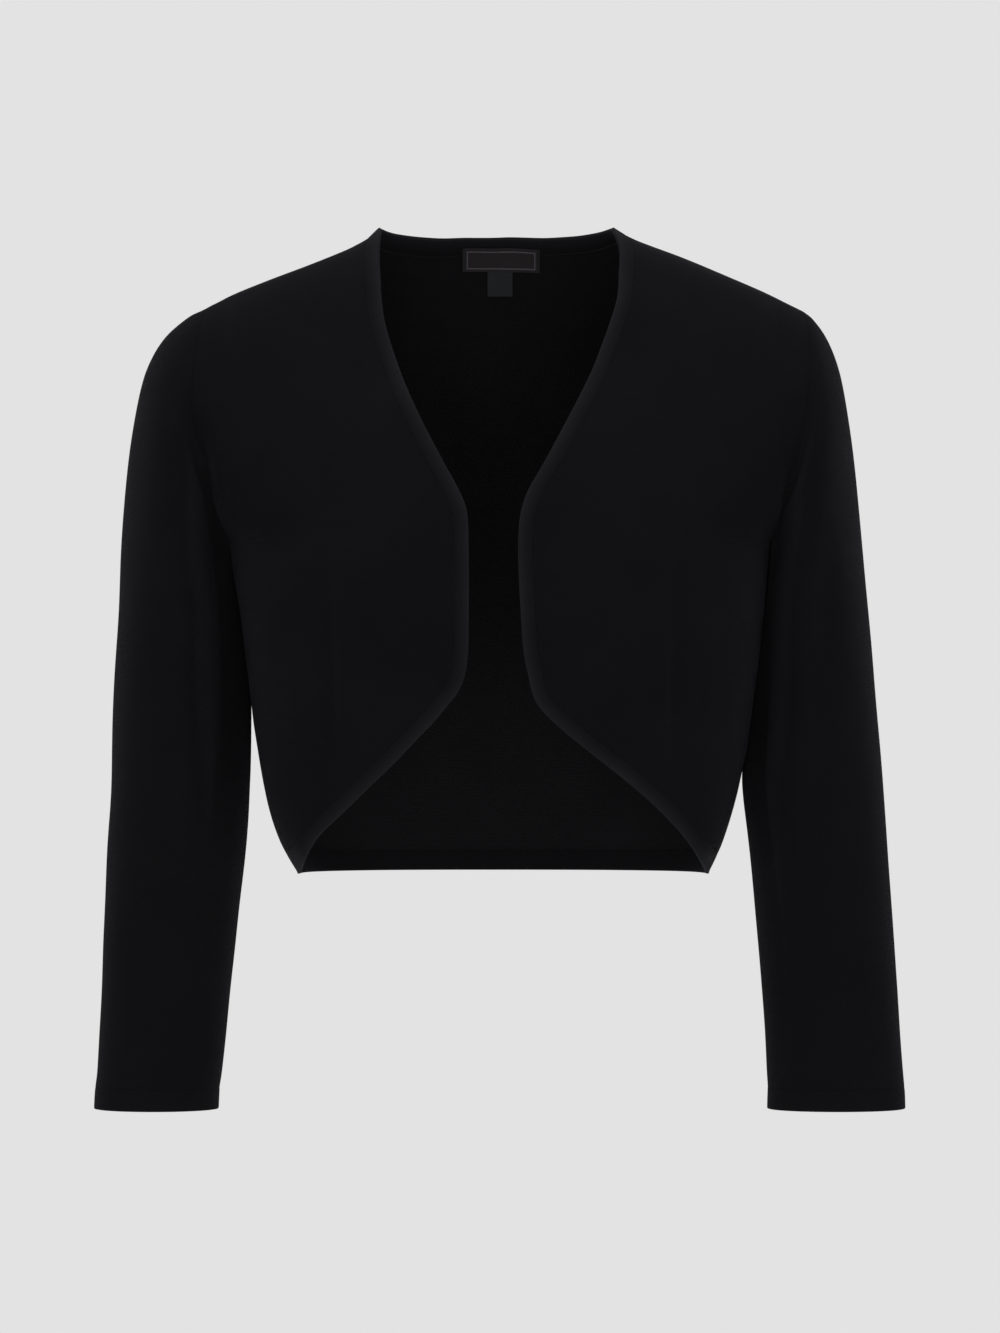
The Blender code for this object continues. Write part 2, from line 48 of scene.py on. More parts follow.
MM = 0.001
RIGHT, LEFT = -1, 1  # the wearer's
FRONT, BACK = -1, 1
SIDE_NAMES = {RIGHT: "right", LEFT: "left"}
HEM_Z, HEM_WIDTH = -409.0, 13.0
UNDERARM_Z = -196.0
SIDE_Y = 4.0  # the plane of the shoulder and side seams
SQUARENESS = 2.5  # of the body's level sections: 2 is an ellipse
KNIT_WALL, DOUBLE_WALL, DOUBLE_PROUD = 1.6, 2.6, 0.4
EDGE_WIDTH, SHOULDER_EDGE_WIDTH = 9.0, 8.0
SEAM_OVERLAP = 0.03  # how far linked pieces press into each other
CLOSE = 0.15  # points nearer than this are one
LEVEL = 0.001  # heights nearer than this are the same
TINY = 1e-9  # keeps a division by a length safe where points fall together
CUT_ROWS = 28  # rows of the table of the open edge
ARMHOLE_ROWS, SIDE_ROWS = 42, 42
ROWS = ARMHOLE_ROWS + SIDE_ROWS
FRONT_COLUMNS, HALF_NECK_COLUMNS, EDGING_COLUMNS = 38, 16, 6


def table(names, *rows):
    return [dict(zip(names.split(), row)) for row in rows]


def curve(rows, key, name):
    """A column of a table as a function of another, along a smooth curve through its rows."""
    keys, values = np.array(sorted((row[key], row[name]) for row in rows), float).T
    last = len(keys) - 1
    after, before = np.minimum(np.arange(last + 1) + 1, last), np.maximum(np.arange(last + 1) - 1, 0)
    slopes = (values[after] - values[before]) / (keys[after] - keys[before])

    def along(at):
        at = np.clip(np.asarray(at, float), keys[0], keys[-1])
        i = np.clip(np.searchsorted(keys, at, side="right") - 1, 0, last - 1)
        step = keys[i + 1] - keys[i]
        t = (at - keys[i]) / step
        rise = 3 * t**2 - 2 * t**3
        bend = t * (1 - t) ** 2 * step * slopes[i] + t * t * (t - 1) * step * slopes[i + 1]
        return values[i] + (values[i + 1] - values[i]) * rise + bend

    return along


DEPTHS = table(
    "drop front back",
    (0, 0, 0),
    (1, 8, 8),
    (4, 15, 16),
    (10, 24, 25),
    (25, 38, 43),
    (45, 51, 59),
    (70, 64, 73),
    (100, 80, 85),
    (130, 96, 93),
    (160, 109, 98),
    (195, 119, 100),
    (230, 121, 98),
    (270, 118, 94),
    (310, 112, 90),
    (350, 106, 87),
    (420, 100, 87),
)
for row in DEPTHS:
    row["root"] = math.sqrt(row["drop"])
SHOULDER = table(
    "x right left",
    (0, 24, 24),
    (20, 23.2, 23.2),
    (40, 19.3, 19),
    (58, 11.5, 12),
    (75, 1.4, 1.5),
    (82, -4.8, -2.6),
    (88, -8.4, -5.6),
    (96, -12.4, -8.8),
    (118, -21.2, -17.2),
    (148, -32.2, -30),
    (170, -41, -39.6),
    (185, -49, -47),
    (194, -53.5, -51.5),
    (206, -60, -58),
)
CLOSING = table(
    "z right left",
    (30, 430, 430),
    (-50, 380, 385),
    (-80, 330, 335),
    (-112, 272, 276),
    (-133, 240, 246),
    (-159, 206, 211),
    (-182, 182, 186),
    (-196, 171, 174.3),
    (-216, 168, 171.8),
    (-235, 165, 169.6),
    (-254, 162.2, 167.8),
    (-273, 159.6, 165.8),
    (-292, 157, 163.5),
    (-311, 154.8, 160.9),
    (-330, 152, 158),
    (-343, 150.2, 155.2),
    (-356, 148, 152.4),
    (-368, 145, 149.4),
    (-381, 140.6, 145.7),
    (-394, 134.8, 141),
    (-408, 126.5, 134),
)
ARMHOLE = table(
    "fall right left",
    (0, 185, 194),
    (0.12, 188.5, 196),
    (0.25, 191, 196.4),
    (0.42, 192.3, 194.8),
    (0.5, 191.3, 193),
    (0.58, 188.3, 190.8),
    (0.66, 184.5, 187.4),
    (0.75, 180, 183),
    (0.87, 175, 178),
    (1, 171, 174.3),
)
EDGE = table(
    "row z right left",
    (0, 0.5, 74.5, 73.5),
    (1, -14, 75.2, 77.4),
    (2, -29, 74.3, 76.8),
    (3, -44, 73.3, 75.7),
    (4, -59.6, 71.1, 71.1),
    (6, -90.7, 61.5, 59.6),
    (8, -121.5, 48.2, 44.4),
    (10, -151.8, 32.5, 28.2),
    (11, -166.8, 24.3, 19.5),
    (12, -179, 19.2, 15),
    (13, -191, 18, 13.2),
    (14, -205, 17.7, 12.7),
    (16, -238, 17.6, 14),
    (18, -270.2, 18.2, 16.4),
    (19, -282, 19.9, 18.9),
    (20, -292.5, 24, 21.2),
    (21, -301.5, 31, 25.2),
    (22, -311, 38.8, 34),
    (23, -323, 50.5, 48),
    (24, -337.5, 64.3, 66.5),
    (25, -352.3, 79.8, 85),
    (26, -368, 96.2, 102.6),
    (27, -385.5, 114.2, 119),
    (28, HEM_Z, 126.5, 134),
)
NECK = table(
    "reach edge_z seam_z",
    (1, 0, -5),
    (0.966, -0.5, -6.8),
    (0.866, -1.7, -9.6),
    (0.707, -2.6, -11.4),
    (0.5, -2.8, -12),
    (0.26, -1.9, -11.3),
    (0, -1.2, -10.7),
)


def by_side(rows, key):
    """A table's right and left columns as one function of x, which gives the side, and of the key."""
    right, left = curve(rows, key, "right"), curve(rows, key, "left")
    return lambda x, at: np.where(np.asarray(x) > 0, left(at), right(at))


shoulder_by_side = by_side(SHOULDER, "x")
closing_by_side = by_side(CLOSING, "z")
front_depth, back_depth = curve(DEPTHS, "root", "front"), curve(DEPTHS, "root", "back")


def shoulder_z(x):
    return shoulder_by_side(x, np.abs(x))


def body_y(face, x, z):
    """How far forward or back the front or back stands where it shows at x, z in front view."""
    drop = np.maximum(shoulder_z(x) - z, 0)
    depth = (front_depth if face == FRONT else back_depth)(np.sqrt(drop))
    share = np.minimum(np.abs(x) / closing_by_side(x, z), 1)
    return SIDE_Y + face * depth * (1 - share**SQUARENESS) ** (1 / SQUARENESS)


def mix(a, b, share):
    return a + (b - a) * share


def side_seam_x(side, z):
    return side * closing_by_side(side, z)


def on_body(face, x, z):
    return np.stack([x, body_y(face, x, z), z], axis=-1)


rows = np.arange(ROWS + 1)
armhole_share = np.minimum(rows / ARMHOLE_ROWS, 1)
armhole_fall = (1 - np.cos(np.pi * armhole_share)) / 2
turning = armhole_share * armhole_share * (3 - 2 * armhole_share)  # how far rows crowd to the sides


def side_outline(side):
    """Front view of a body panel's outer edge: armhole, then side seam down to the hem band."""
    top_z = shoulder_z(side * ARMHOLE[0][SIDE_NAMES[side]])
    armhole_x = side * curve(ARMHOLE, "fall", SIDE_NAMES[side])(armhole_fall)
    armhole_z = mix(top_z, UNDERARM_Z, armhole_fall)
    down = np.maximum((rows - ARMHOLE_ROWS) / SIDE_ROWS, 0)
    side_z = mix(UNDERARM_Z, HEM_Z + HEM_WIDTH, down)
    below = rows > ARMHOLE_ROWS
    return np.where(below, side_seam_x(side, side_z), armhole_x), np.where(below, side_z, armhole_z)


def open_edge(side):
    """Front view of the open edge at the rows of its table."""
    name = SIDE_NAMES[side]
    cut = np.arange(CUT_ROWS)
    x = side * curve(EDGE, "row", name)(cut)
    z = curve(EDGE, "row", "z")(cut)
    z[0] = shoulder_z(x[0])
    return np.append(x, side_seam_x(side, HEM_Z)), np.append(z, HEM_Z)


def band_seam(side):
    """Front view of the seam inside the open edge, a band's width away from it, at the same rows."""
    x, z = open_edge(side)
    run_x, run_z = x[2:] - x[:-2], z[2:] - z[:-2]
    length = np.hypot(run_x, run_z)
    neck_x = x[0] + side * SHOULDER_EDGE_WIDTH
    corner_z = HEM_Z + HEM_WIDTH
    seam_x = [neck_x, *(x[1:-1] - run_z / length * side * EDGE_WIDTH), side_seam_x(side, corner_z)]
    seam_z = [shoulder_z(neck_x), *(z[1:-1] + run_x / length * side * EDGE_WIDTH), corner_z]
    return np.array(seam_x), np.array(seam_z)


def at_every_row(line):
    """A front view line given at the rows of the table of the open edge, at each row of the cloth."""
    points = table("row x z", *zip(range(CUT_ROWS + 1), *line))
    at = rows / ROWS * CUT_ROWS
    return curve(points, "row", "x")(at), curve(points, "row", "z")(at)


def front_grid(side):
    """The points of a front, from the seam of its band out to the armhole and the side seam."""
    seam, outer = np.array(at_every_row(band_seam(side))), np.array(side_outline(side))
    share = np.linspace(0, 1, FRONT_COLUMNS + 1)
    share = mix(share, np.sin(share * np.pi / 2), turning[:, None])
    x, z = mix(seam[..., None], outer[..., None], share)
    z[0] = shoulder_z(x[0])
    return on_body(FRONT, x, z)


NECK_REACHES = np.sin(np.pi / 2 * np.linspace(-1, 1, 2 * HALF_NECK_COLUMNS + 1))


def neck_line(kind):
    """Front view of the back neck's edge or seam, from the right side neck point to the left."""
    ends = {side: {"edge": open_edge, "seam": band_seam}[kind](side) for side in SIDE_NAMES}
    reach = np.abs(NECK_REACHES)
    is_left = NECK_REACHES > 0
    end_x, end_z = (np.where(is_left, left[0], right[0]) for right, left in zip(ends[RIGHT], ends[LEFT]))
    z = curve(NECK, "reach", kind + "_z")(reach) + (end_z - NECK[0][kind + "_z"]) * reach
    return reach * end_x, z


def back_grid():
    """The points of the back, from the neck and shoulder seams down to the hem band."""
    shoulders = {side: front_grid(side)[0] for side in SIDE_NAMES}
    neck_x, neck_z = neck_line("seam")
    top_x = np.concatenate([shoulders[RIGHT][:0:-1, 0], neck_x, shoulders[LEFT][1:, 0]])
    top_z = np.concatenate([shoulders[RIGHT][:0:-1, 2], neck_z, shoulders[LEFT][1:, 2]])
    share = np.linspace(-1, 1, len(top_x))
    reach = np.abs(share)[None, :]
    outlines = zip(side_outline(RIGHT), side_outline(LEFT))
    side_x, side_z = (np.where(share > 0, left[:, None], right[:, None]) for right, left in outlines)
    straight_x = np.abs(top_x / side_x[0]) * side_x
    x = mix(straight_x, np.sin(reach * np.pi / 2) * side_x, turning[:, None])
    fall = mix(armhole_share[:, None], armhole_fall[:, None], reach**3)
    z = np.where(rows[:, None] <= ARMHOLE_ROWS, mix(top_z, UNDERARM_Z, fall), side_z)
    grid = on_body(BACK, x, z)
    on_seam = np.abs(shoulder_z(x[0]) - z[0]) < LEVEL
    grid[0, on_seam, 1] = SIDE_Y
    return grid


# Where each place lies on the flat knit: wales are counted round the body from its middle, and courses
# down it from the chest, so that stitches keep their size over every curve.

CHART_STEP = 4.0
CHART_X = np.arange(-440, 441, CHART_STEP)
CHART_Z = np.arange(-420, 41, CHART_STEP)
CHEST_Z = -200
STEEPEST = 4 * CHART_STEP  # the most that one step may run in or out
CELL_END = 1.001  # keeps a point on the chart's last line inside its last cell


def running(steps, axis):
    """Lengths added up along an axis, from nothing at its start."""
    return np.concatenate([np.zeros_like(steps.take([0], axis)), np.cumsum(steps, axis)], axis)


def charts(face):
    x, z = np.meshgrid(CHART_X, CHART_Z, indexing="ij")
    y = body_y(face, x, np.minimum(z, shoulder_z(x)))
    across = np.hypot(np.diff(x, axis=0), np.diff(y, axis=0))
    down = np.hypot(np.diff(z, axis=1), np.clip(np.diff(y, axis=1), -STEEPEST, STEEPEST))
    wales, courses = running(across, 0), running(down, 1)
    wales -= wales[len(CHART_X) // 2]
    chest = int((CHEST_Z - CHART_Z[0]) / CHART_STEP)
    courses -= courses[:, chest : chest + 1]
    return wales, courses


CHARTS = {face: charts(face) for face in (FRONT, BACK)}


def on_chart(face, grid):
    """The wale and course lengths of a panel's points, in millimetres."""
    i = np.clip((grid[..., 0] - CHART_X[0]) / CHART_STEP, 0, len(CHART_X) - CELL_END)
    j = np.clip((grid[..., 2] - CHART_Z[0]) / CHART_STEP, 0, len(CHART_Z) - CELL_END)
    a, b = i.astype(int), j.astype(int)
    s, t = i - a, j - b
    read = [
        mix(mix(chart[a, b], chart[a + 1, b], s), mix(chart[a, b + 1], chart[a + 1, b + 1], s), t)
        for chart in CHARTS[face]
    ]
    return np.stack(read, axis=-1)


# Soft creases in front view, each from its head to its foot: how far its line bows to the wearer's
# left, half its width, and its depth, which is negative for a ridge. The face is the one it lies in.
CREASES = table(
    "face head_x head_z foot_x foot_z bow half_width depth",
    (FRONT, -108, -205, -102, -362, 0, 7.5, 5.6),
    (FRONT, 113, -200, 110, -362, 0, 8, 5.2),
    (FRONT, 114, -92, 116, -155, 0, 20, 1.8),
    (FRONT, 207, -190, 204, -375, 0, 10, 3.6),
    (FRONT, 201, -370, 197, -480, 0, 11, 2.2),
    (FRONT, 207, -325, 200, -400, 0, 7, 2.2),
    (FRONT, -203, -300, -208, -420, 0, 12, 1.6),
    (FRONT, -191, -112, -177, -218, 0, 11, 4.5),
    (FRONT, 187, -140, 178, -216, 0, 9, 2.5),
    (BACK, -60, -215, -52, -375, 0, 24, 2.6),
    (BACK, 66, -225, 58, -380, 0, 22, 2.4),
    (BACK, 4, -250, 2, -385, 0, 20, 1.6),
    (BACK, -148, -120, -120, -215, 0, 16, 2.2),
    (BACK, 152, -122, 124, -220, 0, 16, 2.2),
    (BACK, -204, -230, -206, -360, 0, 13, 2.4),
    (BACK, 203, -215, 206, -350, 0, 13, 2.4),
    (FRONT, -88, -235, -84, -345, 3, 11, -0.9),
    (FRONT, 96, -230, 92, -350, -4, 12, -0.8),
    (FRONT, 140, -240, 132, -365, 5, 10, 0.9),
    (FRONT, -136, -260, -126, -370, -4, 10, 0.8),
    (FRONT, -160, -180, -112, -128, 6, 11, 0.9),
    (FRONT, 164, -176, 122, -122, -6, 11, 0.9),
    (FRONT, -60, -60, -92, -118, 4, 15, 0.7),
    (FRONT, 66, -64, 90, -112, -4, 14, 0.6),
    (FRONT, -196, -330, -232, -352, 4, 8, 0.9),
    (FRONT, -192, -362, -226, -378, -3, 7, 0.7),
    (FRONT, 193, -318, 230, -346, -4, 8, 0.9),
    (FRONT, 190, -352, 224, -372, 3, 7, 0.8),
    (FRONT, -226, -455, -232, -548, 2, 6, 1.1),
    (FRONT, 226, -420, 230, -520, -3, 8, 0.9),
    (FRONT, -186, -470, -190, -540, 2, 7, 0.7),
    (BACK, -96, -245, -90, -372, -4, 14, 1.2),
    (BACK, 100, -240, 92, -365, 5, 13, 1.1),
    (BACK, -26, -232, -24, -350, 4, 12, -0.8),
    (BACK, 34, -238, 30, -356, -3, 12, -0.8),
    (BACK, -40, -60, -74, -142, 6, 18, 0.9),
    (BACK, 44, -62, 78, -146, -6, 18, 0.9),
    (BACK, -196, -318, -236, -340, 4, 8, 1.1),
    (BACK, 194, -308, 234, -334, -4, 8, 1.0),
    (BACK, -192, -352, -228, -366, -3, 7, 0.8),
    (BACK, 192, -346, 226, -362, 3, 7, 0.8),
)
# The cloth is nowhere quite even: long, low waves, their lengths across counted on a round body.
UNEVENNESS = table("height wide tall shift", (0.35, 83, 131, 0.6), (0.25, 57, 97, 2.1), (0.15, 31, 61, 4.0))
ROUND_BODY = 100  # its radius


def crease_depth(points, normals):
    """How far the soft creases draw each point in along its normal."""
    x, z = points[..., 0], points[..., 2]
    depth = np.zeros(x.shape)
    for fold in CREASES:
        facing = np.maximum(fold["face"] * normals[..., 1], 0)
        run_x, run_z = fold["foot_x"] - fold["head_x"], fold["foot_z"] - fold["head_z"]
        length = math.hypot(run_x, run_z)
        off_x, off_z = x - fold["head_x"], z - fold["head_z"]
        along = np.clip((off_x * run_x + off_z * run_z) / length**2, 0, 1)
        bow = fold["bow"] * 4 * along * (1 - along)
        across = np.minimum(np.abs((run_z * off_x - run_x * off_z) / length + bow) / fold["half_width"], 1)
        depth += fold["depth"] * facing * np.sin(np.pi * along) * np.cos(across * np.pi / 2) ** 2
    for wave in UNEVENNESS:
        turn = 2 * np.pi * (np.arctan2(points[..., 1], x) * ROUND_BODY / wave["wide"])
        rise = 2 * np.pi * z / wave["tall"]
        depth += wave["height"] * np.sin(turn + wave["shift"]) * np.sin(rise + wave["shift"])
    return depth


pieces = []


def sew(name, node, slot, grid, chart, turn, is_ring=False, roll=None, wall=KNIT_WALL):
    """Add a sewn piece: its points and their places on the flat knit, which way its faces turn, whether
    it closes on itself, and for a doubled edge, how near each point is to the free side (0 to 1)."""
    piece = dict(name=name, node=node, slot=slot, grid=grid, chart=chart, turn=turn)
    pieces.append(piece | dict(is_ring=is_ring, roll=roll, wall=wall))


back = back_grid()
sew("back_panel", "back", "fine_knit", back, on_chart(BACK, back), -1)

# The two fronts. Each is one panel of the same knit, cut away from the neck down to a soft corner at
# the waist and back to the side seam.

for side, side_name in SIDE_NAMES.items():
    front = front_grid(side)
    sew(side_name + "_front_panel", "front_" + side_name, "fine_knit", front, on_chart(FRONT, front), side)

# The sleeves. Each is a tube of the same knit, linked into its armhole and closed by one seam along the
# inner arm. They hang a little forward and lie pressed flat against the body's sides, and their fronts
# fall back beside it.

CUFF_Z, CUFF_WIDTH = -556.0, 13.5
CUFF_TOP_Z = CUFF_Z + CUFF_WIDTH
SLEEVE_RINGS = 60
SLEEVE_HEAD_SECTIONS = 5.0  # how many sections down the armhole's own shape still shows
HOLLOW_START, HOLLOW_END = {RIGHT: -0.05, LEFT: 0.2}, {RIGHT: 0.52, LEFT: 0.68}  # from mid to inner arm
SLEEVE_CLEARANCE = 0.15
PRESS_START = 3.0  # how far below the underarm the sleeve is clear of the body
SLEEVE = table(
    "outer_z outer_right outer_left inner_z inner_right inner_left mid_z out front back",
    (-50, 185, 194, -196, 171, 174.3, -123, 13.5, -45, 58),
    (-56, 196.8, 200.5, -199, 169.4, 172.2, -131, 12.5, -51, 60),
    (-70, 212.4, 209.7, -204, 166.8, 169.6, -145, 8.5, -57, 61),
    (-92, 223.8, 217.9, -212, 164.8, 167.6, -161, 6, -60, 61),
    (-122, 230.8, 223.2, -222, 163, 165.2, -180, 4, -61, 60),
    (-158, 235.4, 227.2, -236, 160.6, 163, -204, 2, -60, 58),
    (-200, 238.4, 231.6, -254, 158.8, 162.6, -231, 0, -58, 55),
    (-246, 241, 235.6, -278, 157.6, 161.6, -264, 0, -56, 51),
    (-292, 243.2, 239.7, -308, 156.6, 159.3, -300, 0, -53.5, 47),
    (-348, 245, 244.1, -348, 156.8, 155.2, -348, 0, -51.5, 41),
    (-390, 247.2, 247.4, -390, 159.2, 159.2, -390, 0, -50.5, 36),
    (-440, 249, 250.2, -440, 164.8, 164.2, -440, 0, -50.5, 29.5),
    (-490, 250.9, 253.8, -490, 169.6, 167.8, -490, 0, -52, 21.5),
    (-530, 252.8, 255.8, -530, 173.6, 170.2, -530, 0, -54.5, 14),
    (CUFF_TOP_Z, 254, 256.6, CUFF_TOP_Z, 175.4, 170.9, CUFF_TOP_Z, 0, -56, 10.5),
    (CUFF_Z, 254.2, 257, CUFF_Z, 176.4, 170.5, CUFF_Z, 0, -57, 8),
)
for section, row in enumerate(SLEEVE):
    row["section"] = section
LAST_SLEEVE_SECTION = len(SLEEVE) - 2
# How far the cloth falls back beside the body, where no arm fills it out.
HOLLOW = table(
    "section right left",
    (0, 0, 0),
    (1, 11, 8),
    (2, 21, 15),
    (3, 29, 22),
    (4, 35, 28),
    (6, 42, 37),
    (8, 38, 35),
    (9, 16, 20),
    (10, 3, 7),
    (11, 0, 0),
)


def sleeve_rings(side, sections):
    """Ovals through the outer, front, inner and back rails, their points in the armhole's order."""
    name = SIDE_NAMES[side]
    rail = {key: curve(SLEEVE, "section", key)(sections) for key in SLEEVE[0] if key != "section"}
    middle_y = (rail["front"] + rail["back"]) / 2
    middle_x = side * ((rail["outer_" + name] + rail["inner_" + name]) / 2 + rail["out"])
    outer, inner = (
        np.stack([side * rail[line + name], middle_y, rail[line + "z"]], axis=-1)[:, None]
        for line in ("outer_", "inner_")
    )
    front, rear = (
        np.stack([middle_x, rail[line], rail["mid_z"]], axis=-1)[:, None] for line in ("front", "back")
    )
    angle = np.pi * np.arange(2 * ARMHOLE_ROWS)[None, :, None] / ARMHOLE_ROWS
    down, forward = np.cos(angle), np.sin(angle)
    crown, flank = (outer + inner) / 2, (front + rear) / 2
    rings = crown + (outer - inner) / 2 * down + (front - rear) / 2 * forward + (flank - crown) * forward**2
    inward = np.clip((-down[..., 0] - HOLLOW_START[side]) / (HOLLOW_END[side] - HOLLOW_START[side]), 0, 1)
    in_front = (1 + forward[..., 0]) / 2
    fall = inward**3 * in_front**2 * (3 - 2 * in_front)
    rings[..., 1] += curve(HOLLOW, "section", name)(sections)[:, None] * fall
    return rings


def pressed_on_body(side, grid):
    """Sleeve points, moved out where the sleeve lies against the body's side."""
    x, y, z = grid[..., 0], grid[..., 1], grid[..., 2]
    half_width = np.abs(side_seam_x(side, z))
    root = np.sqrt(np.maximum(shoulder_z(side * half_width) - z, 0))
    depth = np.where(y < SIDE_Y, front_depth(root), back_depth(root))
    share = np.minimum(np.abs(y - SIDE_Y) / np.maximum(depth, CLOSE), 1)
    body_x = half_width * (1 - share**SQUARENESS) ** (1 / SQUARENESS)
    below = UNDERARM_Z - z
    clearance = SLEEVE_CLEARANCE * np.clip(below / PRESS_START, 0, 1)
    pressed = (z > HEM_Z) & (z < UNDERARM_Z)
    leaning = side * np.maximum(np.abs(x), body_x + clearance)
    return np.stack([np.where(pressed, leaning, x), y, z], axis=-1)


def armhole_ring(side):
    x, z = (line[: ARMHOLE_ROWS + 1] for line in side_outline(side))
    return np.concatenate([on_body(FRONT, x, z), on_body(BACK, x, z)[-2:0:-1]])


def sleeve_chart(grid, start):
    """Wales counted both ways round the tube from its outer line, and courses down from its top."""
    round_it = np.concatenate([grid, grid[:, :1]], axis=1)
    wales = running(np.linalg.norm(np.diff(round_it, axis=1), axis=-1), 1)
    steps = np.linalg.norm(np.diff(grid, axis=0), axis=-1)
    courses = np.concatenate([start[None, :], start + np.cumsum(steps, axis=0)])
    courses = np.concatenate([courses, courses[:, :1]], axis=1)
    return np.stack([wales, -courses], axis=-1)


sleeves = {}
for side, side_name in SIDE_NAMES.items():
    sections = np.linspace(0, LAST_SLEEVE_SECTION, SLEEVE_RINGS + 1)
    rings = sleeve_rings(side, sections)
    fade = np.maximum(1 - sections / SLEEVE_HEAD_SECTIONS, 0)[:, None, None] ** 2
    rings = pressed_on_body(side, rings + (armhole_ring(side) - rings[0]) * fade)
    sleeves[side] = rings
    chart = sleeve_chart(rings, -rings[0, :, 2])
    sew(side_name + "_sleeve", "sleeve_" + side_name, "fine_knit", rings, chart, -side, is_ring=True)

# The doubled edges. A narrow strip of the knit is folded double and linked on round the back neck and
# down each cut-away front, and the hem of the back and the ends of the sleeves are turned up double.


def edging_chart(grid):
    """Wales run along a linked-on strip, so courses are counted along it and wales across it."""
    across = running(np.linalg.norm(np.diff(grid, axis=1), axis=-1), 1)
    middle = grid[:, grid.shape[1] // 2]
    along = running(np.linalg.norm(np.diff(middle, axis=0), axis=-1), 0)
    return np.stack([across, np.broadcast_to(along[:, None], across.shape)], axis=-1)


strip = np.linspace(0, 1, EDGING_COLUMNS + 1)
for side, side_name in SIDE_NAMES.items():
    edge, seam = (np.array(at_every_row(line(side)))[..., None] for line in (open_edge, band_seam))
    x, z = mix(edge, seam, strip)
    z[0] = shoulder_z(x[0])
    x[-1] = side_seam_x(side, z[-1])
    band = on_body(FRONT, x, z)
    roll = np.broadcast_to(1 - strip, x.shape)
    name, node = side_name + "_front_edging", "front_band_" + side_name
    sew(name, node, "doubled_knit_edge", band, edging_chart(band), side, roll=roll)

edge, seam = (np.array(neck_line(kind))[:, None] for kind in ("edge", "seam"))
x, z = mix(edge, seam, strip[:, None])
z[:, [0, -1]] = shoulder_z(x[:, [0, -1]])
neck = on_body(BACK, x, z)
neck_chart = edging_chart(neck.transpose(1, 0, 2)).transpose(1, 0, 2)
roll = np.broadcast_to(1 - strip[:, None], x.shape)
sew("neck_edging", "neck_band", "doubled_knit_edge", neck, neck_chart, -1, roll=roll)

z = np.broadcast_to(mix(HEM_Z + HEM_WIDTH, HEM_Z, strip)[:, None], (len(strip), back.shape[1]))
hem_side = np.where(back[-1, :, 0] > 0, LEFT, RIGHT)
narrowing = side_seam_x(hem_side, z) / side_seam_x(hem_side, back[-1, :, 2])
hem = on_body(BACK, back[-1, :, 0] * narrowing, z)
roll = np.broadcast_to(strip[:, None], z.shape)
sew("back_hem", "hem_band", "doubled_knit_edge", hem, on_chart(BACK, hem), -1, roll=roll)

for side, side_name in SIDE_NAMES.items():
    sleeve = sleeves[side]
    cuff = sleeve_rings(side, LAST_SLEEVE_SECTION + strip)
    cuff[0] = sleeve[-1]
    start = -sleeve[0, :, 2] + np.linalg.norm(np.diff(sleeve, axis=0), axis=-1).sum(axis=0)
    roll = np.broadcast_to(strip[:, None], cuff.shape[:2])
    name, node = side_name + "_cuff", "cuff_band_" + side_name
    sew(name, node, "doubled_knit_edge", cuff, sleeve_chart(cuff, start), -side, is_ring=True, roll=roll)

# The labels. A damask label with its ends folded under is laid over the neck seam inside the back, and
# a satin care tag folded double hangs from below it. Both are bare, but for the plain woven frame.

LABELS = table(
    "name node slot x top_z width height wall lift columns rows tilt droop curl",
    ("woven_neck_label", "neck_label", "woven_label", 2.4, -6.3, 50.4, 14.5, 0.7, 2.7, 50, 16, 0.3, 0.5, 0.2),
    ("satin_care_tag", "care_tag", "satin_tag", 1.6, -20.3, 16.3, 15.9, 0.5, 2.6, 16, 16, -0.1, 0.0, 1.1),
)
HALF_STEP = 0.5  # for slopes
for label in LABELS:
    u, v = np.meshgrid(np.linspace(-1, 1, label["columns"] + 1), np.linspace(0, 1, label["rows"] + 1))
    x = label["x"] + u * label["width"] / 2
    z = label["top_z"] - v * label["height"] - label["tilt"] * u - label["droop"] * u * u
    across = on_body(BACK, x + HALF_STEP, z) - on_body(BACK, x - HALF_STEP, z)
    down = on_body(BACK, x, z - HALF_STEP) - on_body(BACK, x, z + HALF_STEP)
    outward = np.cross(across, down)
    outward /= np.linalg.norm(outward, axis=-1, keepdims=True)
    laid = on_body(BACK, x, z) - outward * (label["lift"] + label["curl"] * v * v)[..., None]
    chart = np.stack([u * label["width"] / 2, (0.5 - v) * label["height"]], axis=-1)
    sew(label["name"], label["node"], label["slot"], laid, chart, -1, wall=label["wall"])

# Every panel, sleeve and edge is now a soft wall with rounded rims, all drawn to the same creases, so
# that the pieces meet at their seams.

SEAM_SUPPORT, FREE_SUPPORT = 0.15, 1.1  # how far in from a rim the cloth is flat again
FREE_ROLL = 0.99  # the roll of a free rim
SHARPEST_MITRE = 0.7  # the least cosine that the wall's length makes up for
SEAM_WALL_SHARE = 0.9  # of a doubled edge's thickness, at its seam
WELD, SLIVER = 1e-6, 1e-7  # metres


def quads_of(grid, is_ring):
    """The four corner places of each quad, as rows and columns; a ring's last column is its first."""
    columns = grid.shape[1] if is_ring else grid.shape[1] - 1
    r, c = (place.ravel() for place in np.indices((grid.shape[0] - 1, columns)))
    return np.stack([r, r + 1, r + 1, r], axis=1), np.stack([c, c, c + 1, c + 1], axis=1)


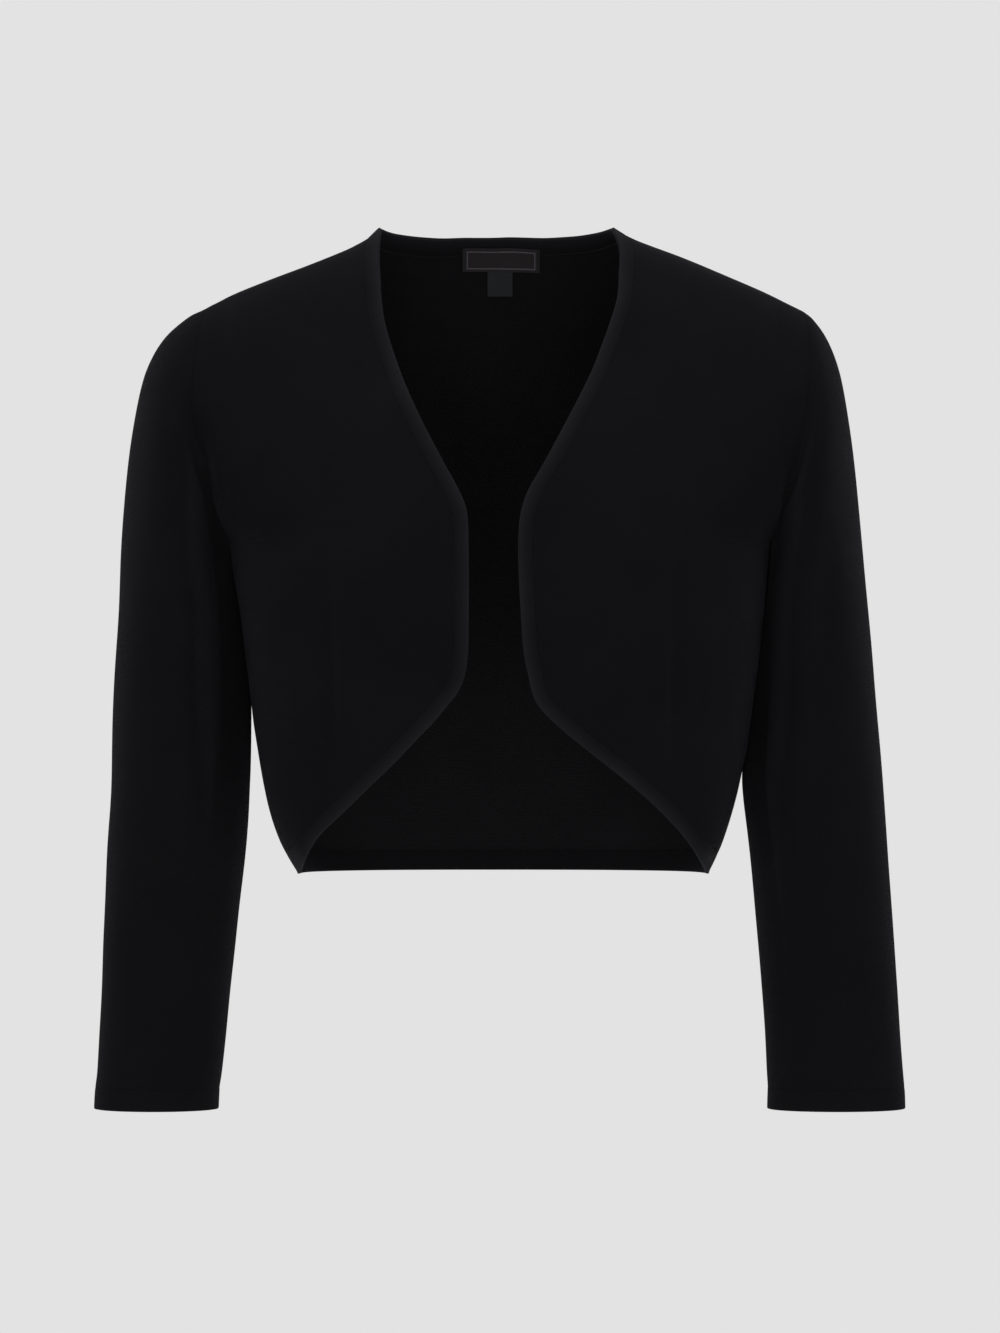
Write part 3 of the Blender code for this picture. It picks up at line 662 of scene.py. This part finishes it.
def share_normals(pieces):
    """For each point, one outward direction for all the pieces that meet there, made longer where
    they meet at an angle, so that the wall keeps its thickness."""
    places = np.concatenate([piece["grid"].reshape(-1, 3) for piece in pieces])
    _, place = np.unique(np.round(places, 3), axis=0, return_inverse=True)
    ends = np.cumsum([piece["grid"][..., 0].size for piece in pieces])
    total, counts, samples = np.zeros((place.max() + 1, 3)), np.zeros(place.max() + 1), []
    for piece, at in zip(pieces, np.split(place.ravel(), ends[:-1])):
        grid = piece["grid"]
        piece["place"] = at.reshape(grid.shape[:2])
        r, c = quads_of(grid, piece["is_ring"])
        c %= grid.shape[1]
        corners = grid[r, c]
        normal = np.cross(corners[:, 2] - corners[:, 0], corners[:, 3] - corners[:, 1])
        length = np.linalg.norm(normal, axis=1, keepdims=True)
        normal = normal / np.maximum(length, TINY) * piece["turn"]
        for at in piece["place"][r, c].T:
            samples.append((at, normal))
            np.add.at(total, at, normal)
            np.add.at(counts, at, length[:, 0] > TINY)
    total /= np.maximum(np.linalg.norm(total, axis=1, keepdims=True), TINY)
    facing = np.zeros(len(counts))
    for at, normal in samples:
        np.add.at(facing, at, (total[at] * normal).sum(axis=1))
    facing /= np.maximum(counts, 1)
    for piece in pieces:
        piece["normal"] = total[piece["place"]]
        piece["stretch"] = 1 / np.maximum(facing[piece["place"]], SHARPEST_MITRE)


def pressed_on(grid, is_ring):
    """The points with their borders moved out a hair, so that linked pieces leave no gap."""
    pressed = grid.copy()
    for axis in (0,) if is_ring else (0, 1):
        lines, moved = np.moveaxis(grid, axis, 0), np.moveaxis(pressed, axis, 0)
        for border, inside in ((0, 1), (-1, -2)):
            is_point = not is_ring and np.linalg.norm(lines[border, 0] - lines[border, -1]) < CLOSE
            reach = lines[inside] - lines[border]
            length = np.linalg.norm(reach, axis=-1, keepdims=True)
            if not is_point:
                moved[border] -= np.where(length > CLOSE, reach / np.maximum(length, TINY), 0) * SEAM_OVERLAP
    return pressed


def with_supports(values, points, roll, is_ring):
    """The values with a further row or column just inside each rim, to keep its turn tight."""
    for axis in (0,) if is_ring else (0, 1):
        values, points, roll = (np.moveaxis(grid, axis, 0) for grid in (values, points, roll))
        shares = []
        for border, inside in ((0, 1), (-1, -2)):
            spacing = np.linalg.norm(points[inside] - points[border], axis=-1)[:, None]
            support = mix(SEAM_SUPPORT, FREE_SUPPORT, roll[border] > FREE_ROLL)
            shares.append(np.minimum(support / np.maximum(spacing, TINY), 0.5))
        supported = []
        for grid in (values, points, roll):
            first, last = mix(grid[0], grid[1], shares[0]), mix(grid[-1], grid[-2], shares[1])
            grid = np.concatenate([grid[:1], first[None], grid[1:-1], last[None], grid[-1:]])
            supported.append(np.moveaxis(grid, 0, axis))
        values, points, roll = supported
    return values


def shell(piece, face_knit, inner_knit):
    """The piece as a closed wall between its outer and inner skins, with its rims rounded."""
    is_ring, doubled = piece["is_ring"], piece["roll"] is not None
    points = pressed_on(piece["grid"], is_ring)
    roll = piece["roll"] if doubled else np.zeros(points.shape[:2])
    wall = DOUBLE_WALL * mix(SEAM_WALL_SHARE, 1, roll) if doubled else piece["wall"]
    lift = DOUBLE_PROUD * np.sqrt(roll) - crease_depth(piece["grid"], piece["normal"])
    outer = points + piece["normal"] * lift[..., None]
    inner = points + piece["normal"] * (lift - wall * piece["stretch"])[..., None]
    piece["inner"] = inner
    rim = roll[..., None]
    if is_ring:
        outer, inner, rim = (np.concatenate([skin, skin[:, :1]], axis=1) for skin in (outer, inner, rim))
    skins = with_supports(np.concatenate([outer, inner, piece["chart"], rim], axis=-1), outer, rim, is_ring)
    rows, columns = skins.shape[:2]
    count = rows * columns
    outer, inner, chart, rim = np.split(skins.reshape(count, -1), (3, 6, 8), axis=1)

    r, c = quads_of(skins, False)
    face = r * columns + c
    if piece["turn"] < 0:
        face = face[:, ::-1]
    borders = [row * columns + np.arange(columns) for row in (0, rows - 1)]
    if not is_ring:
        borders += [np.arange(rows) * columns + column for column in (0, columns - 1)]
    rims = [np.stack([line[:-1], line[1:], line[1:] + count, line[:-1] + count], axis=1) for line in borders]
    rims = np.concatenate(rims)
    faces = np.concatenate([face, face[:, ::-1] + count, rims])
    uv = np.concatenate([chart, chart])[faces]
    if is_ring:  # past its inner line, a tube's wales are counted from the other side
        first_column = np.concatenate([c.min(axis=1), c.min(axis=1), (rims % columns).min(axis=1)])
        girth = chart[:, 0].reshape(rows, columns)[:, -1]
        uv[..., 0] -= np.where(first_column[:, None] >= ARMHOLE_ROWS, girth[faces % count // columns], 0)

    mesh = bpy.data.meshes.new(piece["name"])
    mesh.from_pydata((np.concatenate([outer, inner]) * MM).tolist(), [], faces.tolist())
    layer = mesh.uv_layers.new(name="flat_knit")
    layer.data.foreach_set("uv", uv.reshape(-1))
    # near_rim, how near each point is to a doubled edge's fold, is the mask of the edge knits' painted sheen.
    near_rim = mesh.attributes.new("near_rim", "FLOAT", "POINT")
    near_rim.data.foreach_set("value", np.concatenate([rim, rim]).ravel())
    mesh.materials.append(face_knit)
    mesh.materials.append(inner_knit)
    slots = np.zeros(len(faces), int)
    slots[len(face) : 2 * len(face)] = 1
    mesh.polygons.foreach_set("material_index", slots)
    made = bmesh.new()
    made.from_mesh(mesh)
    bmesh.ops.remove_doubles(made, verts=made.verts, dist=WELD)
    bmesh.ops.dissolve_degenerate(made, dist=SLIVER, edges=made.edges)
    bmesh.ops.recalc_face_normals(made, faces=made.faces)
    made.to_mesh(mesh)
    made.free()
    mesh.shade_smooth()
    obj = bpy.data.objects.new(piece["name"], mesh)
    scene.collection.objects.link(obj)
    rounded = obj.modifiers.new("rounded", "SUBSURF")
    rounded.levels = rounded.render_levels = 1
    rounded.uv_smooth = "NONE"
    return obj


# The knit. Plain fine-gauge jersey in a soft matt black yarn with a slight blue cast: rows of small
# V stitches on its face and of purl bumps inside, drawn coarser than a fine gauge's, which would not
# show. The yarn's short fibres catch light only where the cloth turns away from the eye. Doubled edges
# are the same knit with a painted sheen that makes them paler towards the fold: clearly on a linked-on edge,
# hardly on a turned-up one.

WALE, COURSE = 1.5, 1.15  # stitch spacings in millimetres
LEG_SLANT = 1.3  # courses that the leg of a V climbs for each wale across
ROW_DEPTH, LEG_DEPTH = 0.3, 0.6  # of the relief, between the rows and between the legs of a V
PURL_SWAY = 0.24  # of a row of bumps, in courses
FIBRE_SCALE, FIBRE_RELIEF = 900.0, 0.55  # for each metre, and as a share of the stitches' relief
MOTTLE_SCALE, MOTTLE, EVEN_TONE = 22.0, 0.7, 0.45  # slow unevenness of the tone, and its least
PAINTED_SHEEN_FALL = 1.6  # how fast the painted sheen fades from a fold


def linear(code):
    """A colour from its sRGB hex code."""
    parts = [int(code[i : i + 2], 16) / 255 for i in (1, 3, 5)]
    return (*(v / 12.92 if v <= 0.04045 else ((v + 0.055) / 1.055) ** 2.4 for v in parts), 1)


def add(tree, kind, *inputs, **settings):
    """Add a node with its settings. Its inputs are given as (name or number, value), and a value that
    is a node or a socket is linked."""
    made = tree.nodes.new(kind)
    for setting, value in settings.items():
        setattr(made, setting, value)
    for key, value in inputs:
        if isinstance(value, bpy.types.Node):
            value = value.outputs[0]
        if isinstance(value, bpy.types.NodeSocket):
            tree.links.new(value, made.inputs[key])
        else:
            made.inputs[key].default_value = value
    return made


def new_material(name, **uniform):
    """A material with its Principled shader's plain values set, given with _ for each space."""
    material = bpy.data.materials.new(name)
    material.use_nodes = True
    shader = material.node_tree.nodes["Principled BSDF"]
    for socket, value in uniform.items():
        shader.inputs[socket.replace("_", " ")].default_value = value
    return material, material.node_tree, shader


def knit_material(name, valley, crown, is_purl, relief, sheen, rim_gain):
    """Knit whose colour runs from a painted shade between its stitches to that of their tops, with its relief
    in millimetres and the gain of its painted sheen towards a fold."""
    material, tree, shader = new_material(
        name,
        Roughness=0.95,
        IOR=1.45,
        Specular_IOR_Level=0.03,
        Sheen_Weight=sheen,
        Sheen_Roughness=0.36,
        Sheen_Tint=linear("#8a8b95"),
    )
    sums, noise = "ShaderNodeMath", "ShaderNodeTexNoise"
    chart = add(tree, "ShaderNodeSeparateXYZ", (0, add(tree, "ShaderNodeUVMap", uv_map="flat_knit")))
    wale = add(tree, sums, (0, chart.outputs["X"]), (1, WALE), operation="DIVIDE")
    course = add(tree, sums, (0, chart.outputs["Y"]), (1, COURSE), operation="DIVIDE")
    if is_purl:
        turn = add(tree, sums, (0, wale), (1, math.tau), operation="MULTIPLY")
        wave = add(tree, sums, (0, turn), operation="COSINE")
        sway = add(tree, sums, (0, wave), (1, PURL_SWAY), (2, course), operation="MULTIPLY_ADD")
        turn = add(tree, sums, (0, sway), (1, math.tau), operation="MULTIPLY")
        wave = add(tree, sums, (0, turn), operation="COSINE")
        height = add(tree, sums, (0, wave), (1, 0.5), (2, 0.5), operation="MULTIPLY_ADD")
    else:
        part = add(tree, sums, (0, wale), operation="FRACT")
        off = add(tree, sums, (0, part), (1, 0.5), operation="SUBTRACT")
        off = add(tree, sums, (0, off), operation="ABSOLUTE")
        turn = add(tree, sums, (0, off), (1, math.tau), operation="MULTIPLY")
        leg = add(tree, sums, (0, turn), operation="SINE")
        slant = add(tree, sums, (0, off), (1, -LEG_SLANT), (2, course), operation="MULTIPLY_ADD")
        turn = add(tree, sums, (0, slant), (1, math.tau), operation="MULTIPLY")
        wave = add(tree, sums, (0, turn), operation="COSINE")
        wave = add(tree, sums, (0, wave), (1, ROW_DEPTH), (2, 1 - ROW_DEPTH), operation="MULTIPLY_ADD")
        leg = add(tree, sums, (0, leg), (1, LEG_DEPTH), (2, 1 - LEG_DEPTH), operation="MULTIPLY_ADD")
        height = add(tree, sums, (0, wave), (1, leg), operation="MULTIPLY")
    place = ("Vector", add(tree, "ShaderNodeTexCoord").outputs["Object"])
    fibre = add(tree, noise, place, ("Scale", FIBRE_SCALE), ("Detail", 3.0), ("Roughness", 0.7))
    bloom = add(tree, noise, place, ("Scale", MOTTLE_SCALE), ("Detail", 4.0), ("Roughness", 0.6))
    fuzz = (0, fibre.outputs["Fac"]), (1, FIBRE_RELIEF), (2, height)
    rise = add(tree, sums, *fuzz, operation="MULTIPLY_ADD")
    bump = add(tree, "ShaderNodeBump", ("Height", rise), ("Strength", 0.7), ("Distance", relief * MM))
    patches = (0, bloom.outputs["Fac"]), (1, MOTTLE), (2, EVEN_TONE)
    mottle = add(tree, sums, *patches, operation="MULTIPLY_ADD")
    # Painted shade: the colour darkens with the stitch height towards the valleys between the stitches, where
    # the knit's hollows fall in shade; the mottle varies it at random.
    tone = add(tree, sums, (0, height), (1, mottle), operation="MULTIPLY")
    # Painted sheen: the tone grows towards a doubled edge's fold, standing in for the light its rolled rim
    # catches.
    if rim_gain:
        rim = add(tree, "ShaderNodeAttribute", attribute_name="near_rim").outputs["Fac"]
        rim = add(tree, sums, (0, rim), (1, PAINTED_SHEEN_FALL), operation="POWER")
        rim = add(tree, sums, (0, rim), (1, rim_gain), (2, 1.0), operation="MULTIPLY_ADD")
        tone = add(tree, sums, (0, tone), (1, rim), operation="MULTIPLY")
    tones = (0, tone), (6, linear(valley)), (7, linear(crown))
    colour = add(tree, "ShaderNodeMix", *tones, data_type="RGBA", clamp_factor=False)
    tree.links.new(colour.outputs[2], shader.inputs["Base Color"])
    tree.links.new(bump.outputs["Normal"], shader.inputs["Normal"])
    return material


# The edge knits are lit copies of the face knit: painted sheen towards the fold, and the linked-on edge also
# painted a shade paler all over.
KNITS = table(
    "name valley crown is_purl relief sheen rim_gain",
    ("black_jersey_face", "#070708", "#111113", False, 0.35, 0.06, 0.0),
    # The purl side is painted paler than the face: painted light, standing in for the light that reaches the
    # garment's inside.
    ("black_jersey_purl_side", "#0a0a0b", "#171719", True, 0.3, 0.03, 0.0),
    ("black_jersey_linked_edge", "#080809", "#131315", False, 0.3, 0.06, 2.5),
    ("black_jersey_turned_edge", "#070708", "#111113", False, 0.3, 0.06, 0.4),
)
face_knit, purl_knit, linked_edge_painted_sheen_knit, turned_edge_painted_sheen_knit = (knit_material(**knit) for knit in KNITS)

# The label cloths. Damask polyester with a fine even weave that shows only close up, slightly warm
# black inside its frame and greyer on the folded ends, and a smoother grey-black satin ribbon.

FRAME_HALF_WIDTH, FRAME_HALF_HEIGHT, FRAME_LINE = 22.0, 5.2, 0.5
END_BLEND = 0.8  # over which the ground turns to the folded ends' tone
THREAD_RELIEF = 0.08  # millimetres


def label_material(name, ground, ends, roughness, threads, frame=None):
    """Woven cloth with its thread spacings across and down in millimetres, and an optional frame line."""
    material, tree, shader = new_material(name, Roughness=roughness, IOR=1.5, Specular_IOR_Level=0.08)
    sums, ranged = "ShaderNodeMath", "ShaderNodeMapRange"
    chart = add(tree, "ShaderNodeSeparateXYZ", (0, add(tree, "ShaderNodeUVMap", uv_map="flat_knit")))
    waves = []
    for axis, spacing in zip("XY", threads):
        turn = add(tree, sums, (0, chart.outputs[axis]), (1, math.tau / spacing), operation="MULTIPLY")
        waves.append(add(tree, sums, (0, turn), operation="SINE"))
    weave = add(tree, sums, (0, waves[0]), (1, waves[1]), operation="MULTIPLY")
    bump = add(tree, "ShaderNodeBump", ("Height", weave), ("Strength", 0.5), ("Distance", THREAD_RELIEF * MM))
    tree.links.new(bump.outputs["Normal"], shader.inputs["Normal"])
    out = [add(tree, sums, (0, chart.outputs[axis]), operation="ABSOLUTE") for axis in "XY"]
    limits = (1, FRAME_HALF_WIDTH), (2, FRAME_HALF_WIDTH + END_BLEND)
    mask = add(tree, ranged, (0, out[0]), *limits, interpolation_type="SMOOTHSTEP")
    colour = add(tree, "ShaderNodeMix", (0, mask), (6, linear(ground)), (7, linear(ends)), data_type="RGBA")
    if frame:
        off_x = add(tree, sums, (0, out[0]), (1, FRAME_HALF_WIDTH), operation="SUBTRACT")
        off_y = add(tree, sums, (0, out[1]), (1, FRAME_HALF_HEIGHT), operation="SUBTRACT")
        off = add(tree, sums, (0, off_x), (1, off_y), operation="MAXIMUM")
        off = add(tree, sums, (0, off), operation="ABSOLUTE")
        limits = (1, FRAME_LINE), (2, FRAME_LINE / 2)
        line = add(tree, ranged, (0, off), *limits, interpolation_type="SMOOTHSTEP")
        tones = (0, line), (6, colour.outputs[2]), (7, linear(frame))
        colour = add(tree, "ShaderNodeMix", *tones, data_type="RGBA")
    tree.links.new(colour.outputs[2], shader.inputs["Base Color"])
    return material


label_cloths = {
    "woven_neck_label": label_material(
        "black_damask_polyester", "#211d1f", "#1d1d1f", 0.6, (0.32, 0.26), frame="#434146"
    ),
    "satin_care_tag": label_material("grey_black_satin_ribbon", "#191b1e", "#191b1e", 0.42, (1.6, 0.22)),
}

share_normals(pieces)
for piece in pieces:
    cloth = label_cloths.get(piece["name"])
    if piece["roll"] is not None:
        cloth = linked_edge_painted_sheen_knit if "edging" in piece["name"] else turned_edge_painted_sheen_knit
    obj = shell(piece, cloth or face_knit, cloth or purl_knit)
    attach(obj, "root")
    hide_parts(piece["node"])

# The linking. Each seam is linked by machine in the same yarn: a chain of small tight stitches, one to a
# wale, that stands up as a fine ridge along the inside. Finer stitches hold the label's folded ends.

LEAST_LEAN, MOST_LEAN = 0.2, 0.5  # of a stitch from its seam's line, in radians


def linked_seam_nodes():
    """Geometry Nodes that set a small yarn stitch at every pitch along a seam."""
    tree = bpy.data.node_groups.new("linked_seam", "GeometryNodeTree")
    lengths = dict.fromkeys(("Pitch", "Stitch Length", "Stitch Width", "Stitch Rise"), "Float")
    for name, kind in {"Seam": "Geometry", **lengths, "Seed": "Int", "Yarn": "Material"}.items():
        tree.interface.new_socket(name, in_out="INPUT", socket_type="NodeSocket" + kind)
    tree.interface.new_socket("Stitches", in_out="OUTPUT", socket_type="NodeSocketGeometry")
    given = add(tree, "NodeGroupInput").outputs
    line = add(tree, "GeometryNodeMeshToCurve", (0, given["Seam"]))
    pitch = ("Length", given["Pitch"])
    points = add(tree, "GeometryNodeResampleCurve", ("Curve", line), pitch, mode="LENGTH")
    inward = add(tree, "GeometryNodeInputNamedAttribute", ("Name", "inward"), data_type="FLOAT_VECTOR")
    along = add(tree, "GeometryNodeInputTangent")
    align, turned = "FunctionNodeAlignRotationToVector", "FunctionNodeRotateRotation"
    facing = add(tree, align, ("Vector", inward), axis="Z")
    facing = add(tree, align, ("Rotation", facing), ("Vector", along), axis="X", pivot_axis="Z")
    least, most, seed = (2, LEAST_LEAN), (3, MOST_LEAN), (8, given["Seed"])
    chance = add(tree, "FunctionNodeRandomValue", least, most, seed, data_type="FLOAT")
    lean = add(tree, "FunctionNodeAxisAngleToRotation", ("Axis", (0, 0, 1)), ("Angle", chance.outputs[1]))
    leaning = add(tree, turned, ("Rotation", facing), ("Rotate By", lean), rotation_space="LOCAL")
    sizes = enumerate(given["Stitch " + part] for part in ("Length", "Width", "Rise"))
    size = add(tree, "ShaderNodeCombineXYZ", *sizes)
    bead = add(tree, "GeometryNodeMeshUVSphere", ("Segments", 6), ("Rings", 4), ("Radius", 0.5))
    stitch = add(tree, "GeometryNodeTransform", ("Geometry", bead), ("Scale", size))
    placing = ("Points", points), ("Instance", stitch), ("Rotation", leaning)
    placed = add(tree, "GeometryNodeInstanceOnPoints", *placing)
    solid = add(tree, "GeometryNodeRealizeInstances", ("Geometry", placed))
    smooth = add(tree, "GeometryNodeSetShadeSmooth", ("Geometry", solid))
    dyed = add(tree, "GeometryNodeSetMaterial", ("Geometry", smooth), ("Material", given["Yarn"]))
    add(tree, "NodeGroupOutput", (0, dyed))
    return tree


def stitch_along(name, seams, **inputs):
    """Stitches along seams, each a line of points on the inside of a piece and their inward directions."""
    verts, edges, inward = [], [], []
    for line, directions in seams:
        start = len(verts)
        verts += [Vector(point) * MM for point in line]
        inward += [value for direction in directions for value in direction]
        edges += [(start + n, start + n + 1) for n in range(len(line) - 1)]
    mesh = bpy.data.meshes.new(name + "_path")
    mesh.from_pydata(verts, edges, [])
    mesh.attributes.new("inward", "FLOAT_VECTOR", "POINT").data.foreach_set("vector", inward)
    path = bpy.data.objects.new(name + "_path", mesh)
    scene.collection.objects.link(path)
    modifier = path.modifiers.new("linked_seam", "NODES")
    modifier.node_group = LINKED_SEAM
    for socket in LINKED_SEAM.interface.items_tree:
        if socket.name in inputs:
            modifier[socket.identifier] = inputs[socket.name]
    stitches = bpy.data.meshes.new_from_object(path.evaluated_get(bpy.context.evaluated_depsgraph_get()))
    bpy.data.objects.remove(path)
    made = bpy.data.objects.new(name, stitches)
    scene.collection.objects.link(made)
    return made


LINKED_SEAM = linked_seam_nodes()
soft = dict(Roughness=0.9, Specular_IOR_Level=0.05, Sheen_Weight=0.05)
yarn, _, _ = new_material("black_linking_yarn", Base_Color=linear("#0c0c0d"), **soft)
by_name = {piece["name"]: piece for piece in pieces}


def inside_line(name, row, column, is_loop=False):
    """A row, a column or a stretch of one on the inside of a piece, with its inward directions."""
    piece = by_name[name]
    line, inward = piece["inner"][row, column], -piece["normal"][row, column]
    if is_loop:
        line, inward = (np.concatenate([points, points[:1]]) for points in (line, inward))
    return line.tolist(), inward.tolist()


ALL = slice(None)
seams = [inside_line("neck_edging", -1, ALL), inside_line("back_panel", -1, ALL)]
for side_name in SIDE_NAMES.values():
    front, sleeve = side_name + "_front_panel", side_name + "_sleeve"
    seams += [
        inside_line(front, 0, ALL),
        inside_line(front, slice(ARMHOLE_ROWS, None), -1),
        inside_line(front, ALL, 0),
        inside_line(sleeve, 0, ALL, is_loop=True),
        inside_line(sleeve, ALL, ARMHOLE_ROWS),
        inside_line(sleeve, -1, ALL, is_loop=True),
    ]
label_ends = [inside_line("woven_neck_label", ALL, 1), inside_line("woven_neck_label", ALL, -2)]
for name, slot, lines, length, width, rise, pitch in (
    ("linked_seams", "fine_knit", seams, 2.0, 0.8, 0.7, WALE),
    ("label_stitches", "woven_label", label_ends, 1.3, 0.35, 0.3, 1.6),
):
    sizes = {"Stitch Length": length * MM, "Stitch Width": width * MM, "Stitch Rise": rise * MM}
    obj = stitch_along(name, lines, **sizes, Pitch=pitch * MM, Seed=7, Yarn=yarn)
    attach(obj, "root")

# The studio. A pale floor disc well below the garment, in an even pale grey that lights it from
# all round, with one large soft lamp above, one low in front, and a faint one at each side.

FLOOR_RADIUS, FLOOR_Z = 1.35, -0.86
scene.view_settings.view_transform = "Standard"
scene.world = bpy.data.worlds.new("pale_studio")
scene.world.use_nodes = True
scene.world.node_tree.nodes["Background"].inputs["Color"].default_value = linear("#e3e3e3")

floor_mesh = bmesh.new()
bmesh.ops.create_circle(
    floor_mesh, cap_ends=True, radius=FLOOR_RADIUS, segments=96, matrix=Matrix.Translation((0, 0, FLOOR_Z))
)
floor_data = bpy.data.meshes.new("studio_floor")
floor_mesh.to_mesh(floor_data)
floor_mesh.free()
floor = bpy.data.objects.new("studio_floor", floor_data)
scene.collection.objects.link(floor)
paint, _, _ = new_material("pale_matt_paint", Base_Color=linear("#e8e8e8"), Roughness=0.9)
floor_data.materials.append(paint)

for light_name, place, aim, size, power in (
    ("overhead_softbox", (0, -0.4, 2.0), (0, 0, -0.2), (2.6, 2.0), 47),
    ("wearers_right_softbox", (-2.4, 0.3, 0.1), (0, 0, -0.3), (1.6, 2.2), 3),
    ("wearers_left_softbox", (2.4, 0.3, 0.1), (0, 0, -0.3), (1.6, 2.2), 2),
    ("front_softbox", (0.1, -3.4, -1.0), (0, 0, -0.35), (2.0, 1.4), 52),
):
    lamp = bpy.data.lights.new(light_name, "AREA")
    lamp.shape, lamp.size, lamp.size_y, lamp.energy = "RECTANGLE", *size, power
    light = bpy.data.objects.new(light_name, lamp)
    light.location = place
    light.rotation_euler = (Vector(aim) - Vector(place)).to_track_quat("-Z", "Y").to_euler()
    light.visible_camera = False
    scene.collection.objects.link(light)

CAMERA_DISTANCE = 4.0
VIEW_X, VIEW_Z = 0.0016, -0.277  # the middle of the view
VIEW_HEIGHT = 0.8465  # of the plane of the seams
camera_data = bpy.data.cameras.new("level_camera")
camera_data.sensor_width = 36.0
camera_data.lens = camera_data.sensor_width * CAMERA_DISTANCE / VIEW_HEIGHT
camera = bpy.data.objects.new("level_camera", camera_data)
camera.location = (VIEW_X, -CAMERA_DISTANCE, VIEW_Z)
camera.rotation_euler = (math.pi / 2, 0, 0)
scene.collection.objects.link(camera)
scene.camera = camera
